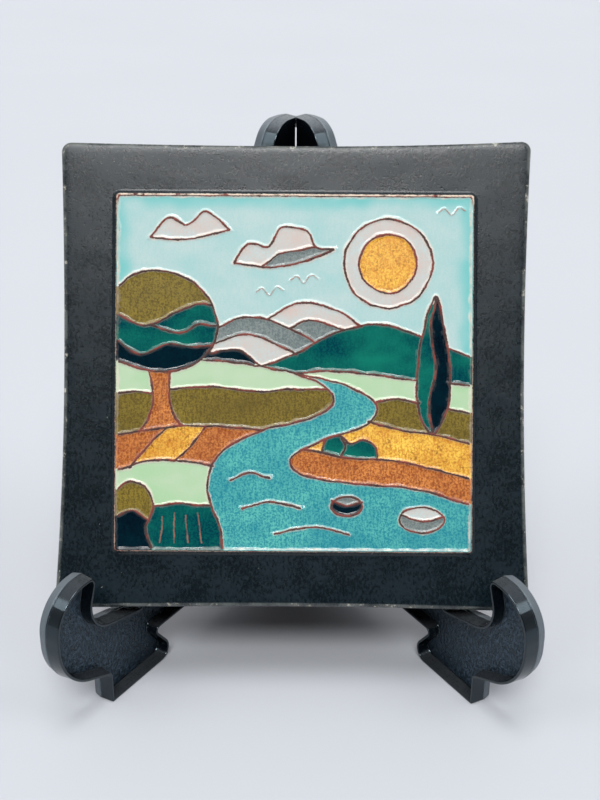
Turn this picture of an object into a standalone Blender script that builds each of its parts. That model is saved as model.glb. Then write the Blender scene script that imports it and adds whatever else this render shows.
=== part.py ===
"""A glazed ceramic picture tile, seated in a folding display stand.

The tile is one fired slab: a dark border with flared corners and, standing a
little proud of it, a square picture whose outlines are raised clay lines. It
leans back on the front edges of two moulded plastic stand halves, which meet
at a vertical hinge line behind it, and its lower edge sits in their saddles.

Metres. +X is the viewer's right, -Y the front and +Z up. The origin is on the
floor, under the middle of the whole.
"""
import math

import bmesh
import bpy
from mathutils import Matrix, Vector

MM = 0.001
WELD_DISTANCE = 0.01 * MM

# Tile
PICTURE_SIZE = 152.4 * MM
BORDER_SIDE = 22.0 * MM
BORDER_TOP = 20.7 * MM
BORDER_BOTTOM = 23.4 * MM
TILE_THICKNESS = 12.0 * MM
# How far each corner flares out past the waists of its two edges, sideways and lengthways
CORNER_FLARES = {
    "bottom left": (3.5 * MM, 1.2 * MM),
    "bottom right": (2.9 * MM, 1.8 * MM),
    "top right": (2.5 * MM, 2.7 * MM),
    "top left": (1.7 * MM, 1.1 * MM),
}
CORNER_RADIUS = 4.4 * MM
FRONT_EDGE_RADIUS = 2.0 * MM
BACK_EDGE_RADIUS = 1.0 * MM
EDGE_POINTS = 8

# Picture panel and its raised lines
PANEL_RISE = 1.0 * MM
PANEL_SLOPE = 1.1 * MM
PANEL_CORNER_RADIUS = 1.6 * MM
PANEL_ROOT = 2.0 * MM
LINE_RADIUS = 0.85 * MM
STROKE_RADIUS = 0.55 * MM
LINE_SINK = 0.15 * MM
LINE_STEP = 5.0 * MM
# Hand-trailed lines stand at uneven heights: the most that one is lower than the rim,
# how many heights there are, and the stride through them that sets neighbours well apart
LINE_UNEVENNESS = 0.2 * MM
LINE_VARIETY = 53
LINE_STRIDE = 8
# How far inside the panel's edge the lines end, and the rim line runs
LINE_END_INSET = 0.6 * MM
RIM_INSET = 0.9 * MM

# How the tile sits: its lean from upright, and its lower back edge's place
TILE_LEAN = math.radians(26.0)
SEAT_HEIGHT = 37.9 * MM
SEAT_REACH = 103.3 * MM
REST_GAP = 0.3 * MM

# Stand halves: a drafted plate each, hollowed on its inner face
HALF_ANGLE = math.radians(32.3)
PLATE_THICKNESS = 10.4 * MM
PARTING_DEPTH = 6.9 * MM
DRAFT = 0.5 * MM
EDGE_ROUND = 0.4 * MM
RIM_WIDTH = 1.2 * MM
RECESS_DEPTH = 5.6 * MM
RECESS_DRAFT = 0.3 * MM
STAND_HEIGHT = 226.6 * MM
CAP_RADIUS = 14.0 * MM
BACK_RADIUS = 13.0 * MM
BACK_OVERHANG = 13.0 * MM
HINGE_WALL = 6.5 * MM
CAP_DEPTH = 20.0 * MM
HOLLOW_TOP_WIDTH = 18.0 * MM
ARC_TOLERANCE = 0.07 * MM

# Hook and saddle that hold the tile's lower edge
HOOK_REACH = 174.6 * MM
HOOK_HEIGHT = 68.4 * MM
HOOK_TIP_REACH = 148.6 * MM
HOOK_TIP_RADIUS = 3.5 * MM
HOOK_TOP_RADIUS = 19.0 * MM
BELLY_RADIUS = 27.0 * MM
BELLY_SLOPE = math.radians(23.4)
SADDLE_FRONT = 156.8 * MM
SADDLE_RADIUS = 12.2 * MM
SADDLE_SLOPE = math.radians(14.0)
SADDLE_BACK_RADIUS = 2.0 * MM

# Feet and the arch between them
FOOT_FRONT = 145.8 * MM
FOOT_NECK_HEIGHT = 14.8 * MM
FOOT_RADIUS = 1.0 * MM
NECK_RADIUS = 1.5 * MM
HEEL_REACH = 99.6 * MM
HEEL_RADIUS = 5.8 * MM
HEEL_LEAN = math.radians(38.3)
ARCH_HEIGHT = 19.0 * MM
REAR_HEEL_REACH = 47.0 * MM

# Hinge: knuckles on the line where the inner faces meet
MITRE_GAP = 0.7 * MM
STOP_GAP = 0.3 * MM
STOP_HEIGHT = 3.8 * MM
KNUCKLE_RADIUS = 3.0 * MM
KNUCKLE_LENGTH = 10.0 * MM
PEG_RADIUS = 1.3 * MM
HINGE_CLEARANCE = 0.3 * MM
HINGE_HEIGHTS = (48.0 * MM, 178.0 * MM)

# Outlines of the picture's cells: name, closed or not, and points in millimetres
# from the picture's centre, each line a smooth curve through its points
HALF_PICTURE = 76.2
PICTURE_LINES = [
    ("crown", False, [(-76.2, 36), (-66, 43), (-50, 42), (-37, 32), (-33, 17), (-42, 4), (-58, 0), (-76.2, 5)]),
    ("crown upper fold", False, [(-76.2, 25), (-64, 20), (-52, 25), (-42, 29), (-35.5, 29)]),
    ("crown middle fold", False, [(-61, 20.4), (-50, 17), (-41, 20.5), (-33.3, 20)]),
    ("crown lower fold", False, [(-76.2, 14), (-66, 8), (-54, 12), (-43, 11), (-35, 12)]),
    ("trunk left", False, [(-62, 0.2), (-60, -9), (-61.5, -18), (-66, -25.4)]),
    ("trunk right", False, [(-53, 0.2), (-53.5, -9), (-52, -17), (-48, -23)]),
    ("cloud top", False, [(-26, 47), (-20, 55), (-11, 54), (-6, 62), (5, 61), (9, 54), (17, 53)]),
    ("cloud base", False, [(-26, 47), (-10, 45), (4, 48), (17, 53)]),
    ("cloud fold", False, [(-14, 45.3), (-7, 51), (2, 52.5), (9, 54)]),
    ("small cloud top", False, [(-62, 58), (-54, 66), (-46, 63), (-38, 69), (-28, 61)]),
    ("small cloud base", False, [(-62, 58), (-45, 57), (-28, 61)]),
    ("far hill", False, [(-33, 19), (-20, 24), (-4, 20), (9, 13)]),
    ("far hill upper band", False, [(-33.5, 13), (-20, 16.5), (-4, 10.5), (1, 8)]),
    ("far hill lower band", False, [(-36, 8), (-24, 10), (-14, 2.5)]),
    ("farther hill", False, [(-12, 22.7), (2, 30), (18, 27), (29, 20.2)]),
    ("farther hill band", False, [(-2, 19.3), (8, 22.5), (21, 18.4)]),
    ("green hill", False, [(-14, 2.5), (2, 9), (18, 17.5), (36, 21), (54.6, 15.8)]),
    ("green hill end", False, [(66, 11), (76.2, 7)]),
    ("plain left", False, [(-40, 5.5), (-26, 4.5), (-14, 2.5), (0, 0)]),
    ("plain right", False, [(0, 0), (20, 1), (38, -1), (52.5, -3)]),
    ("plain end", False, [(66.4, -4), (76.2, -5)]),
    ("river left bank", False, [(0, 0), (12, -5), (17, -12), (8, -19), (-14, -25), (-32, -35), (-37, -50),
                                (-32, -64), (-30, -76.2)]),
    ("river right bank", False, [(0, 0), (22, -5), (35, -13), (31, -22), (12, -29), (-1, -36), (3, -43),
                                 (24, -47), (50, -49), (76.2, -56)]),
    ("first left field", False, [(-53.3, -7), (-36, -6), (-18, -8), (-2, -7), (14.5, -7)]),
    ("first left field end", False, [(-76.2, -9), (-68, -8.5), (-60.2, -9)]),
    ("second left field", False, [(-76.2, -27), (-65, -25), (-49, -23), (-32, -23), (-13, -24.7)]),
    ("third left field", False, [(-76.2, -42), (-62, -38), (-46, -38), (-34.5, -40)]),
    ("near left field", False, [(-60, -57), (-48, -56), (-35.6, -57)]),
    ("furrow one", False, [(-54, -23.2), (-61, -30), (-70, -40.6)]),
    ("furrow two", False, [(-38, -23), (-43, -30), (-51, -38)]),
    ("first right field", False, [(35.5, -12), (44, -11), (53.4, -12.5)]),
    ("first right field end", False, [(66, -15), (76.2, -17)]),
    ("second right field", False, [(32, -20.5), (46, -24), (60, -26), (76.2, -30)]),
    ("third right field", False, [(4, -32.5), (24, -36), (48, -38), (76.2, -45)]),
    ("cypress", True, [(59, -25.8), (53, -14), (53, 4), (56, 22), (60.5, 33), (64, 20), (66.5, 4), (66, -14)]),
    ("cypress fold", False, [(60.5, 33), (58.5, 18), (60.5, 2), (58, -12), (59, -25.8)]),
    ("first stone fold", False, [(45.7, -60.5), (55, -63), (64.4, -61)]),
    ("second stone fold", False, [(16.6, -54.5), (23, -56.6), (29.4, -55)]),
    ("bush", False, [(-76.2, -51), (-71, -47), (-64, -49), (-60, -57), (-63, -67), (-60, -76.2)]),
    ("bush fold", False, [(-76.2, -62), (-69, -59), (-62.2, -63)]),
    ("hedge", False, [(12, -33.8), (14, -28.3), (20, -27), (24, -30), (30, -28.5), (35, -31), (36, -36.8)]),
    ("hedge fold", False, [(20, -27), (22, -31), (20, -35.3)]),
    ("first ripple", False, [(-27, -46), (-19, -43), (-10, -45)]),
    ("second ripple", False, [(-22, -58), (-10, -55), (3, -58)]),
    ("third ripple", False, [(-8, -69), (8, -66), (24, -69)]),
]
# Round outlines: name, centre, half width, half height and turn in degrees
PICTURE_ROUNDS = [
    ("sun", (40, 47), 12.5, 12.5, 0),
    ("sun ring", (40, 47), 19.0, 19.0, 0),
    ("first stone", (55, -62.5), 9.6, 5.4, 0),
    ("second stone", (23, -57), 6.6, 4.2, 0),
]
# Thin strokes: crop rows in the near field, and birds in the sky
PICTURE_STROKES = [
    ("first crop row", [(-56, -62), (-57, -73)]),
    ("second crop row", [(-51, -60), (-51, -73)]),
    ("third crop row", [(-46, -61), (-45, -73)]),
    ("fourth crop row", [(-41, -60), (-39, -73)]),
]
BIRD_STROKE = [(-5.5, 1.2), (-3, 2.8), (0, 0), (3.2, 3.2), (6, 1.8)]
BIRD_PLACES = [(-11, 33.5), (4, 38.5), (67, 68)]
ROUND_POINTS = 8

# How far the whole reaches in front of the hinge line and behind it, and so where that line stands
FRONT_REACH = HOOK_REACH * math.cos(HALF_ANGLE) - EDGE_ROUND * math.sin(HALF_ANGLE)
BACK_REACH = (
    (BACK_OVERHANG - DRAFT / 2) * math.cos(HALF_ANGLE)
    + (PLATE_THICKNESS - EDGE_ROUND) * math.sin(HALF_ANGLE)
)
HINGE_Y = (FRONT_REACH - BACK_REACH) / 2

PART_COLLECTION = "picture tile on stand"
CUTTER_COLLECTION = "cutters"


def empty_scene():
    for old in list(bpy.data.objects):
        bpy.data.objects.remove(old, do_unlink=True)


def new_collection(name):
    collection = bpy.data.collections.new(name)
    bpy.context.scene.collection.children.link(collection)
    return collection


def new_material(name, colour, roughness, metallic=0.0):
    material = bpy.data.materials.new(name)
    material.use_nodes = True
    shader = material.node_tree.nodes["Principled BSDF"]
    shader.inputs["Base Color"].default_value = (*colour, 1.0)
    shader.inputs["Roughness"].default_value = roughness
    shader.inputs["Metallic"].default_value = metallic
    return material


def object_from_bmesh(name, shape, collection, sharp=math.radians(35.0)):
    mesh = bpy.data.meshes.new(name)
    shape.to_mesh(mesh)
    shape.free()
    mesh.shade_smooth()
    mesh.set_sharp_from_angle(angle=sharp)
    thing = bpy.data.objects.new(name, mesh)
    collection.objects.link(thing)
    return thing


def as_cutter(thing):
    thing.hide_render = True
    thing.display_type = "WIRE"
    return thing


def mesh_from_curve(curve_object, collection):
    """Turn a curve object into a mesh object with its caps welded on."""
    graph = bpy.context.evaluated_depsgraph_get()
    mesh = bpy.data.meshes.new_from_object(curve_object.evaluated_get(graph))
    shape = bmesh.new()
    shape.from_mesh(mesh)
    bmesh.ops.remove_doubles(shape, verts=shape.verts, dist=WELD_DISTANCE)
    shape.to_mesh(mesh)
    shape.free()
    name = curve_object.name
    place = curve_object.matrix_world.copy()
    bpy.data.objects.remove(curve_object, do_unlink=True)
    solid = bpy.data.objects.new(name, mesh)
    solid.matrix_world = place
    collection.objects.link(solid)
    return solid


def add_boolean(thing, operation, operand):
    """Join or cut with one object, or with every object of a collection."""
    boolean = thing.modifiers.new(operation.lower(), "BOOLEAN")
    boolean.operation = operation
    boolean.solver = "EXACT"
    if isinstance(operand, bpy.types.Collection):
        boolean.operand_type = "COLLECTION"
        boolean.collection = operand
    else:
        boolean.object = operand


def smooth_line(points, closed, step):
    """Points a step apart on a smooth curve through the given points."""
    count = len(points)
    spots = [Vector(point) for point in points]
    if closed:
        spots = [spots[-1]] + spots + spots[:2]
        spans = count
    else:
        spots = [2 * spots[0] - spots[1]] + spots + [2 * spots[-1] - spots[-2]]
        spans = count - 1
    line = []
    for index in range(spans):
        before, start, end, after = spots[index:index + 4]
        pieces = max(1, round((end - start).length / step))
        for piece in range(pieces):
            t = piece / pieces
            line.append(0.5 * (
                2 * start + (end - before) * t
                + (2 * before - 5 * start + 4 * end - after) * t ** 2
                + (3 * start - before - 3 * end + after) * t ** 3
            ))
    if not closed:
        line.append(spots[-2])
    return line


def round_line(centre, half_width, half_height, turn):
    """Points evenly round an ellipse, for a closed line."""
    middle = Vector(centre)
    turned = Matrix.Rotation(math.radians(turn), 2)
    points = []
    for index in range(ROUND_POINTS):
        angle = 2 * math.pi * index / ROUND_POINTS
        points.append(middle + turned @ Vector((half_width * math.cos(angle), half_height * math.sin(angle))))
    return points


def tile_outline():
    """The tile's flared outline, anticlockwise, about the picture's centre, and its corners."""
    left = -PICTURE_SIZE / 2 - BORDER_SIDE
    right = PICTURE_SIZE / 2 + BORDER_SIDE
    bottom = -PICTURE_SIZE / 2 - BORDER_BOTTOM
    top = PICTURE_SIZE / 2 + BORDER_TOP
    flares = CORNER_FLARES
    corners = [
        Vector((left - flares["bottom left"][0], bottom - flares["bottom left"][1])),
        Vector((right + flares["bottom right"][0], bottom - flares["bottom right"][1])),
        Vector((right + flares["top right"][0], top + flares["top right"][1])),
        Vector((left - flares["top left"][0], top + flares["top left"][1])),
    ]
    waists = [
        Vector(((left + right) / 2, bottom)),
        Vector((right, (bottom + top) / 2)),
        Vector(((left + right) / 2, top)),
        Vector((left, (bottom + top) / 2)),
    ]
    outline = []
    for index in range(4):
        start, waist, end = corners[index], waists[index], corners[(index + 1) % 4]
        along = 0 if index % 2 == 0 else 1
        across = 1 - along
        for piece in range(EDGE_POINTS):
            share = 2 * piece / EDGE_POINTS - 1
            near = start if share < 0 else end
            point = Vector((0.0, 0.0))
            point[along] = waist[along] + (near[along] - waist[along]) * abs(share)
            point[across] = waist[across] + (near[across] - waist[across]) * share ** 2
            outline.append(point)
    return outline, corners


def outline_slab(name, outline, thickness, collection):
    """A flat slab of the given outline, its middle on the XY plane."""
    curve = bpy.data.curves.new(name, "CURVE")
    curve.dimensions = "2D"
    curve.fill_mode = "BOTH"
    curve.extrude = thickness / 2
    spline = curve.splines.new("POLY")
    spline.points.add(len(outline) - 1)
    for point, place in zip(spline.points, outline):
        point.co = (place[0], place[1], 0.0, 1.0)
    spline.use_cyclic_u = True
    curve_object = bpy.data.objects.new(name, curve)
    collection.objects.link(curve_object)
    return mesh_from_curve(curve_object, collection)


def round_slab_edges(slab, corners):
    """Round the slab's upright corner edges, then its front and back edges."""
    shape = bmesh.new()
    shape.from_mesh(slab.data)
    bmesh.ops.dissolve_limit(shape, angle_limit=math.radians(0.1), verts=shape.verts, edges=shape.edges)
    half = TILE_THICKNESS / 2

    def is_corner(edge):
        upright = abs(edge.verts[0].co.z - edge.verts[1].co.z) > half
        return upright and any((edge.verts[0].co.xy - corner).length < CORNER_RADIUS / 2 for corner in corners)

    def lies_at(edge, height):
        return all(abs(vert.co.z - height) < half / 100 for vert in edge.verts)

    upright = [edge for edge in shape.edges if is_corner(edge)]
    bmesh.ops.bevel(shape, geom=upright, offset=CORNER_RADIUS, segments=6, profile=0.5, affect="EDGES")
    for height, radius, segments in ((half, FRONT_EDGE_RADIUS, 3), (-half, BACK_EDGE_RADIUS, 2)):
        rim = [edge for edge in shape.edges if lies_at(edge, height)]
        bmesh.ops.bevel(shape, geom=rim, offset=radius, segments=segments, profile=0.5, affect="EDGES")
    shape.to_mesh(slab.data)
    shape.free()


def make_panel(collection):
    """The raised square behind the picture, with sloping sides, its top at the rise."""
    shape = bmesh.new()
    bmesh.ops.create_cube(shape, size=1.0)
    width = PICTURE_SIZE + 2 * PANEL_SLOPE
    depth = PANEL_ROOT + PANEL_RISE
    bmesh.ops.scale(shape, vec=(width, width, depth), verts=shape.verts)
    bmesh.ops.translate(shape, vec=(0.0, 0.0, PANEL_RISE - depth / 2), verts=shape.verts)
    upright = [edge for edge in shape.edges if abs(edge.verts[0].co.z - edge.verts[1].co.z) > depth / 2]
    bmesh.ops.bevel(shape, geom=upright, offset=PANEL_CORNER_RADIUS, segments=3, profile=0.5, affect="EDGES")
    rim = [edge for edge in shape.edges if all(vert.co.z > 0 for vert in edge.verts)]
    bmesh.ops.bevel(shape, geom=rim, offset=PANEL_SLOPE, segments=1, affect="EDGES")
    return as_cutter(object_from_bmesh("picture panel", shape, collection))


def raised_line(name, points, closed, radius, sink, collection):
    """A clay line on the panel: a tube whose axis is sunk in it by a little."""
    curve = bpy.data.curves.new(name, "CURVE")
    curve.dimensions = "3D"
    curve.twist_mode = "Z_UP"
    curve.bevel_depth = radius
    curve.bevel_resolution = 1
    curve.use_fill_caps = True
    spline = curve.splines.new("POLY")
    spline.points.add(len(points) - 1)
    for point, place in zip(spline.points, points):
        point.co = (place[0], place[1], PANEL_RISE - sink, 1.0)
    spline.use_cyclic_u = closed
    curve_object = bpy.data.objects.new(name, curve)
    collection.objects.link(curve_object)
    return as_cutter(mesh_from_curve(curve_object, collection))


def make_lines(collection):
    """Every raised line of the picture, its square rim included."""
    scale = (PICTURE_SIZE / 2 - LINE_END_INSET) / HALF_PICTURE
    step = LINE_STEP / scale
    lines = [(name, points, closed, LINE_RADIUS) for name, closed, points in PICTURE_LINES]
    for name, centre, half_width, half_height, turn in PICTURE_ROUNDS:
        lines.append((name, round_line(centre, half_width, half_height, turn), True, LINE_RADIUS))
    for name, points in PICTURE_STROKES:
        lines.append((name, points, False, STROKE_RADIUS))
    for place in BIRD_PLACES:
        bird = [Vector(place) + Vector(point) for point in BIRD_STROKE]
        lines.append(("bird", bird, False, STROKE_RADIUS))
    for index, (name, points, closed, radius) in enumerate(lines):
        line = [point * scale for point in smooth_line(points, closed, step)]
        lower = LINE_UNEVENNESS * ((index + 1) * LINE_STRIDE % LINE_VARIETY) / LINE_VARIETY
        raised_line(name, line, closed, radius, LINE_SINK + lower, collection)

    reach = PICTURE_SIZE / 2 - RIM_INSET
    rim = []
    for x, y in ((-1, -1), (1, -1), (1, 1), (-1, 1)):
        corner = Vector((x, y)) * (reach - PANEL_CORNER_RADIUS)
        start = math.atan2(y, x) - math.pi / 4
        for piece in range(4):
            angle = start + piece * math.pi / 6
            rim.append(corner + PANEL_CORNER_RADIUS * Vector((math.cos(angle), math.sin(angle))))
    raised_line("picture rim", rim, True, LINE_RADIUS, LINE_SINK, collection)


def drop_at_saddles():
    """How far the tile's flared lower edge hangs below its waist where the stand's plates carry it."""
    outer_reach = SEAT_REACH * math.tan(HALF_ANGLE) + PLATE_THICKNESS / math.cos(HALF_ANGLE)
    drops = []
    for corner in ("bottom left", "bottom right"):
        sideways, down = CORNER_FLARES[corner]
        drops.append(down * (outer_reach / (PICTURE_SIZE / 2 + BORDER_SIDE + sideways)) ** 2)
    return max(drops)


def make_tile(parts, cutters, material):
    """The tile as one solid, leaning back with its lower back edge on the seat."""
    outline, corners = tile_outline()
    tile = outline_slab("tile", outline, TILE_THICKNESS, parts)
    round_slab_edges(tile, corners)
    tile.data.transform(Matrix.Translation((0.0, 0.0, -TILE_THICKNESS / 2)))

    lines = bpy.data.collections.new("raised lines")
    cutters.children.link(lines)
    panel = make_panel(cutters)
    make_lines(lines)
    guides = [panel] + list(lines.objects)
    add_boolean(tile, "UNION", panel)
    add_boolean(tile, "UNION", lines)

    tile.data.materials.append(material)
    tile.data.shade_smooth()
    tile.data.set_sharp_from_angle(angle=math.radians(35.0))

    bottom = PICTURE_SIZE / 2 + BORDER_BOTTOM + drop_at_saddles()
    up = Vector((0.0, math.sin(TILE_LEAN), math.cos(TILE_LEAN)))
    facing = Vector((0.0, -math.cos(TILE_LEAN), math.sin(TILE_LEAN)))
    lower_back_edge = Vector((0.0, HINGE_Y - SEAT_REACH, SEAT_HEIGHT))
    centre = lower_back_edge + bottom * up + TILE_THICKNESS * facing
    place = bpy.data.objects.new("tile place", None)
    parts.objects.link(place)
    place.location = centre
    place.rotation_euler = (math.pi / 2 - TILE_LEAN, 0.0, 0.0)
    for thing in [tile] + guides:
        thing.parent = place
    return tile


def edge_reach(height):
    """Reach of a half's front edge from the hinge line, on its inner face, at a height."""
    back_plane = SEAT_REACH - (height - SEAT_HEIGHT) * math.tan(TILE_LEAN)
    return (back_plane - REST_GAP / math.cos(TILE_LEAN)) / math.cos(HALF_ANGLE)


def saddle_height(reach):
    """Height of the saddle's floor at a reach: it clears the tile where that crosses the parting line."""
    contact = (SEAT_REACH + PARTING_DEPTH * math.sin(HALF_ANGLE)) / math.cos(HALF_ANGLE)
    return SEAT_HEIGHT - REST_GAP - DRAFT + (reach - contact) * math.tan(SADDLE_SLOPE)


def meeting_of_edge_and_saddle():
    """Where the front edge line runs into the saddle's floor."""
    slope = math.tan(TILE_LEAN) / math.cos(HALF_ANGLE)
    rise = math.tan(SADDLE_SLOPE)
    floor_at_zero = saddle_height(0.0)
    reach = (edge_reach(0.0) - slope * floor_at_zero) / (1 + slope * rise)
    return reach, saddle_height(reach)


def half_corners(back, top, cap_radius, back_radius):
    """Corners of a half on its inner face, clockwise from the floor at the back: reach, height, radius."""
    belly_drop = (HOOK_REACH - FOOT_FRONT) * math.tan(BELLY_SLOPE)
    heel_run = ARCH_HEIGHT * math.tan(HEEL_LEAN)
    edge_foot, saddle_foot = meeting_of_edge_and_saddle()
    return [
        (back, 0.0, FOOT_RADIUS),
        (back, top, back_radius),
        (edge_reach(top), top, cap_radius),
        (edge_foot, saddle_foot, SADDLE_BACK_RADIUS),
        (SADDLE_FRONT, saddle_height(SADDLE_FRONT), SADDLE_RADIUS),
        (HOOK_TIP_REACH, HOOK_HEIGHT, HOOK_TIP_RADIUS),
        (HOOK_REACH, HOOK_HEIGHT, HOOK_TOP_RADIUS),
        (HOOK_REACH, FOOT_NECK_HEIGHT + belly_drop, BELLY_RADIUS),
        (FOOT_FRONT, FOOT_NECK_HEIGHT, NECK_RADIUS),
        (FOOT_FRONT, 0.0, FOOT_RADIUS),
        (HEEL_REACH, 0.0, HEEL_RADIUS),
        (HEEL_REACH + heel_run, ARCH_HEIGHT, NECK_RADIUS),
        (REAR_HEEL_REACH - heel_run, ARCH_HEIGHT, NECK_RADIUS),
        (REAR_HEEL_REACH, 0.0, HEEL_RADIUS),
    ]


def corner_turn(places, index):
    """Directions into and out of a corner, and the turn between them."""
    before = (places[index] - places[index - 1]).normalized()
    after = (places[(index + 1) % len(places)] - places[index]).normalized()
    turn = math.atan2(before.x * after.y - before.y * after.x, before.dot(after))
    return before, after, turn


def fit_corners(corners):
    """The corners, with a rounding made smaller where its two sides have no room for it."""
    places = [Vector(corner[:2]) for corner in corners]
    count = len(corners)
    tangents = []
    for index, corner in enumerate(corners):
        turn = corner_turn(places, index)[2]
        tangents.append(corner[2] * math.tan(abs(turn) / 2))
    fitted = []
    for index, (reach, height, radius) in enumerate(corners):
        share = 1.0
        for near, far in ((index - 1, index), (index, (index + 1) % count)):
            side = (places[far] - places[near]).length
            share = min(share, side / (tangents[near] + tangents[far]))
        fitted.append((reach, height, radius * share))
    return fitted


def arc_pieces(corners):
    """How many straight pieces each rounded corner gets."""
    places = [Vector(corner[:2]) for corner in corners]
    pieces = []
    for index, corner in enumerate(corners):
        step = 2 * math.acos(1 - ARC_TOLERANCE / corner[2])
        turn = corner_turn(places, index)[2]
        pieces.append(max(2, math.ceil(abs(turn) / step)))
    return pieces


def rounded_outline(corners, pieces, inset):
    """The clockwise outline with rounded corners, moved inwards by inset, never below the floor."""
    places = [Vector(corner[:2]) for corner in corners]
    outline = []
    for index, corner in enumerate(corners):
        before, after, turn = corner_turn(places, index)
        inward = Vector((before.y, -before.x)) + Vector((after.y, -after.x))
        moved = places[index] + inward * (inset / (1 + before.dot(after)))
        side = math.copysign(1.0, turn)
        radius = max(corner[2] + side * inset, ARC_TOLERANCE)
        start = moved - before * radius * math.tan(abs(turn) / 2)
        middle = start + side * radius * Vector((-before.y, before.x))
        spoke = start - middle
        for piece in range(pieces[index] + 1):
            point = middle + Matrix.Rotation(turn * piece / pieces[index], 2) @ spoke
            outline.append(Vector((point.x, max(point.y, 0.0))))
    return outline


def hollow_top():
    """The hollow ends a cap's depth below the top, or lower, where the plate gets too narrow for it."""
    width_plane = (HINGE_WALL + HOLLOW_TOP_WIDTH) * math.cos(HALF_ANGLE) + REST_GAP / math.cos(TILE_LEAN)
    narrow = SEAT_HEIGHT + (SEAT_REACH - width_plane) / math.tan(TILE_LEAN)
    return min(STAND_HEIGHT - CAP_DEPTH, narrow)


def plate_rings():
    """The half's sections from its outer face to the floor of its hollow: outline and depth."""
    full = fit_corners(half_corners(-BACK_OVERHANG, STAND_HEIGHT, CAP_RADIUS, BACK_RADIUS))
    hollow = fit_corners(half_corners(HINGE_WALL, hollow_top(), 2 * NECK_RADIUS, NECK_RADIUS))
    pieces = arc_pieces(full)
    sections = [
        (full, DRAFT + EDGE_ROUND, PLATE_THICKNESS),
        (full, DRAFT / 2, PLATE_THICKNESS - EDGE_ROUND),
        (full, -DRAFT, PARTING_DEPTH),
        (full, 0.0, EDGE_ROUND),
        (full, EDGE_ROUND, 0.0),
        (hollow, RIM_WIDTH, 0.0),
        (hollow, RIM_WIDTH + RECESS_DRAFT, RECESS_DEPTH),
    ]
    return [(rounded_outline(corners, pieces, inset), depth) for corners, inset, depth in sections]


def make_plate(name, side, collection):
    """A half's plate in its own frame: X the reach from the hinge line, Y across the plate."""
    shape = bmesh.new()
    rings = []
    for outline, depth in plate_rings():
        rings.append([shape.verts.new((point.x, side * depth, point.y)) for point in outline])
    count = len(rings[0])
    for outer, inner in zip(rings, rings[1:]):
        for index in range(count):
            after = (index + 1) % count
            shape.faces.new((outer[index], outer[after], inner[after], inner[index]))
    shape.faces.new(rings[0])
    shape.faces.new(rings[-1])
    bmesh.ops.remove_doubles(shape, verts=shape.verts, dist=WELD_DISTANCE)
    bmesh.ops.dissolve_degenerate(shape, dist=WELD_DISTANCE, edges=shape.edges)
    bmesh.ops.recalc_face_normals(shape, faces=shape.faces)
    return object_from_bmesh(name, shape, collection)


def upright_cylinder(name, radius, bottom, top, collection):
    """A cylinder on the hinge line."""
    shape = bmesh.new()
    height = top - bottom
    bmesh.ops.create_cone(shape, cap_ends=True, segments=16, radius1=radius, radius2=radius, depth=height)
    bmesh.ops.translate(shape, vec=(0.0, HINGE_Y, bottom + height / 2), verts=shape.verts)
    return as_cutter(object_from_bmesh(name, shape, collection))


def side_block(name, side, gap, bottom, top, collection):
    """A block that takes away all that lies nearer to the middle plane than half the gap."""
    reach = HOOK_REACH
    shape = bmesh.new()
    bmesh.ops.create_cube(shape, size=1.0)
    bmesh.ops.scale(shape, vec=(reach, 2 * reach, top - bottom), verts=shape.verts)
    centre = (side * (gap - reach) / 2, HINGE_Y, (bottom + top) / 2)
    bmesh.ops.translate(shape, vec=centre, verts=shape.verts)
    return as_cutter(object_from_bmesh(name, shape, collection))


def hinge_spans():
    """For each hinge: the middle knuckle's span, and the two outer knuckles' spans."""
    spans = []
    for height in HINGE_HEIGHTS:
        low = height - KNUCKLE_LENGTH / 2
        high = height + KNUCKLE_LENGTH / 2
        outer = [
            (low - HINGE_CLEARANCE - KNUCKLE_LENGTH, low - HINGE_CLEARANCE),
            (high + HINGE_CLEARANCE, high + HINGE_CLEARANCE + KNUCKLE_LENGTH),
        ]
        spans.append(((low, high), outer))
    return spans


def make_half(name, side, parts, cutters, material):
    """One half of the stand: side is 1 for the right, -1 for the left."""
    half = make_plate(name, side, parts)
    half.location = (0.0, HINGE_Y, 0.0)
    half.rotation_euler = (0.0, 0.0, side * HALF_ANGLE - math.pi / 2)

    groups = {}
    for role in ("mitre", "knuckles", "clearances", "pegs"):
        groups[role] = bpy.data.collections.new(f"{name} {role}")
        cutters.children.link(groups[role])

    below = -STAND_HEIGHT / 4
    stop = STAND_HEIGHT - STOP_HEIGHT
    side_block(f"{name} mitre", side, MITRE_GAP, below, stop, groups["mitre"])
    side_block(f"{name} stop", side, STOP_GAP, stop - EDGE_ROUND, STAND_HEIGHT - below, groups["mitre"])

    root = KNUCKLE_LENGTH / 10
    for middle, outer in hinge_spans():
        own = [middle] if side > 0 else outer
        other = outer if side > 0 else [middle]
        for low, high in own:
            upright_cylinder(f"{name} knuckle", KNUCKLE_RADIUS, low, high, groups["knuckles"])
        for low, high in other:
            upright_cylinder(f"{name} knuckle room", KNUCKLE_RADIUS + HINGE_CLEARANCE,
                             low - HINGE_CLEARANCE, high + HINGE_CLEARANCE, groups["clearances"])
        low = outer[0][1] - root
        high = outer[1][0] + root
        if side > 0:
            upright_cylinder(f"{name} bore", PEG_RADIUS + HINGE_CLEARANCE, low, high, groups["clearances"])
        else:
            upright_cylinder(f"{name} peg", PEG_RADIUS, low, high, groups["pegs"])

    add_boolean(half, "DIFFERENCE", groups["mitre"])
    add_boolean(half, "UNION", groups["knuckles"])
    add_boolean(half, "DIFFERENCE", groups["clearances"])
    if side < 0:
        add_boolean(half, "UNION", groups["pegs"])
    half.data.materials.append(material)
    return half


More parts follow.
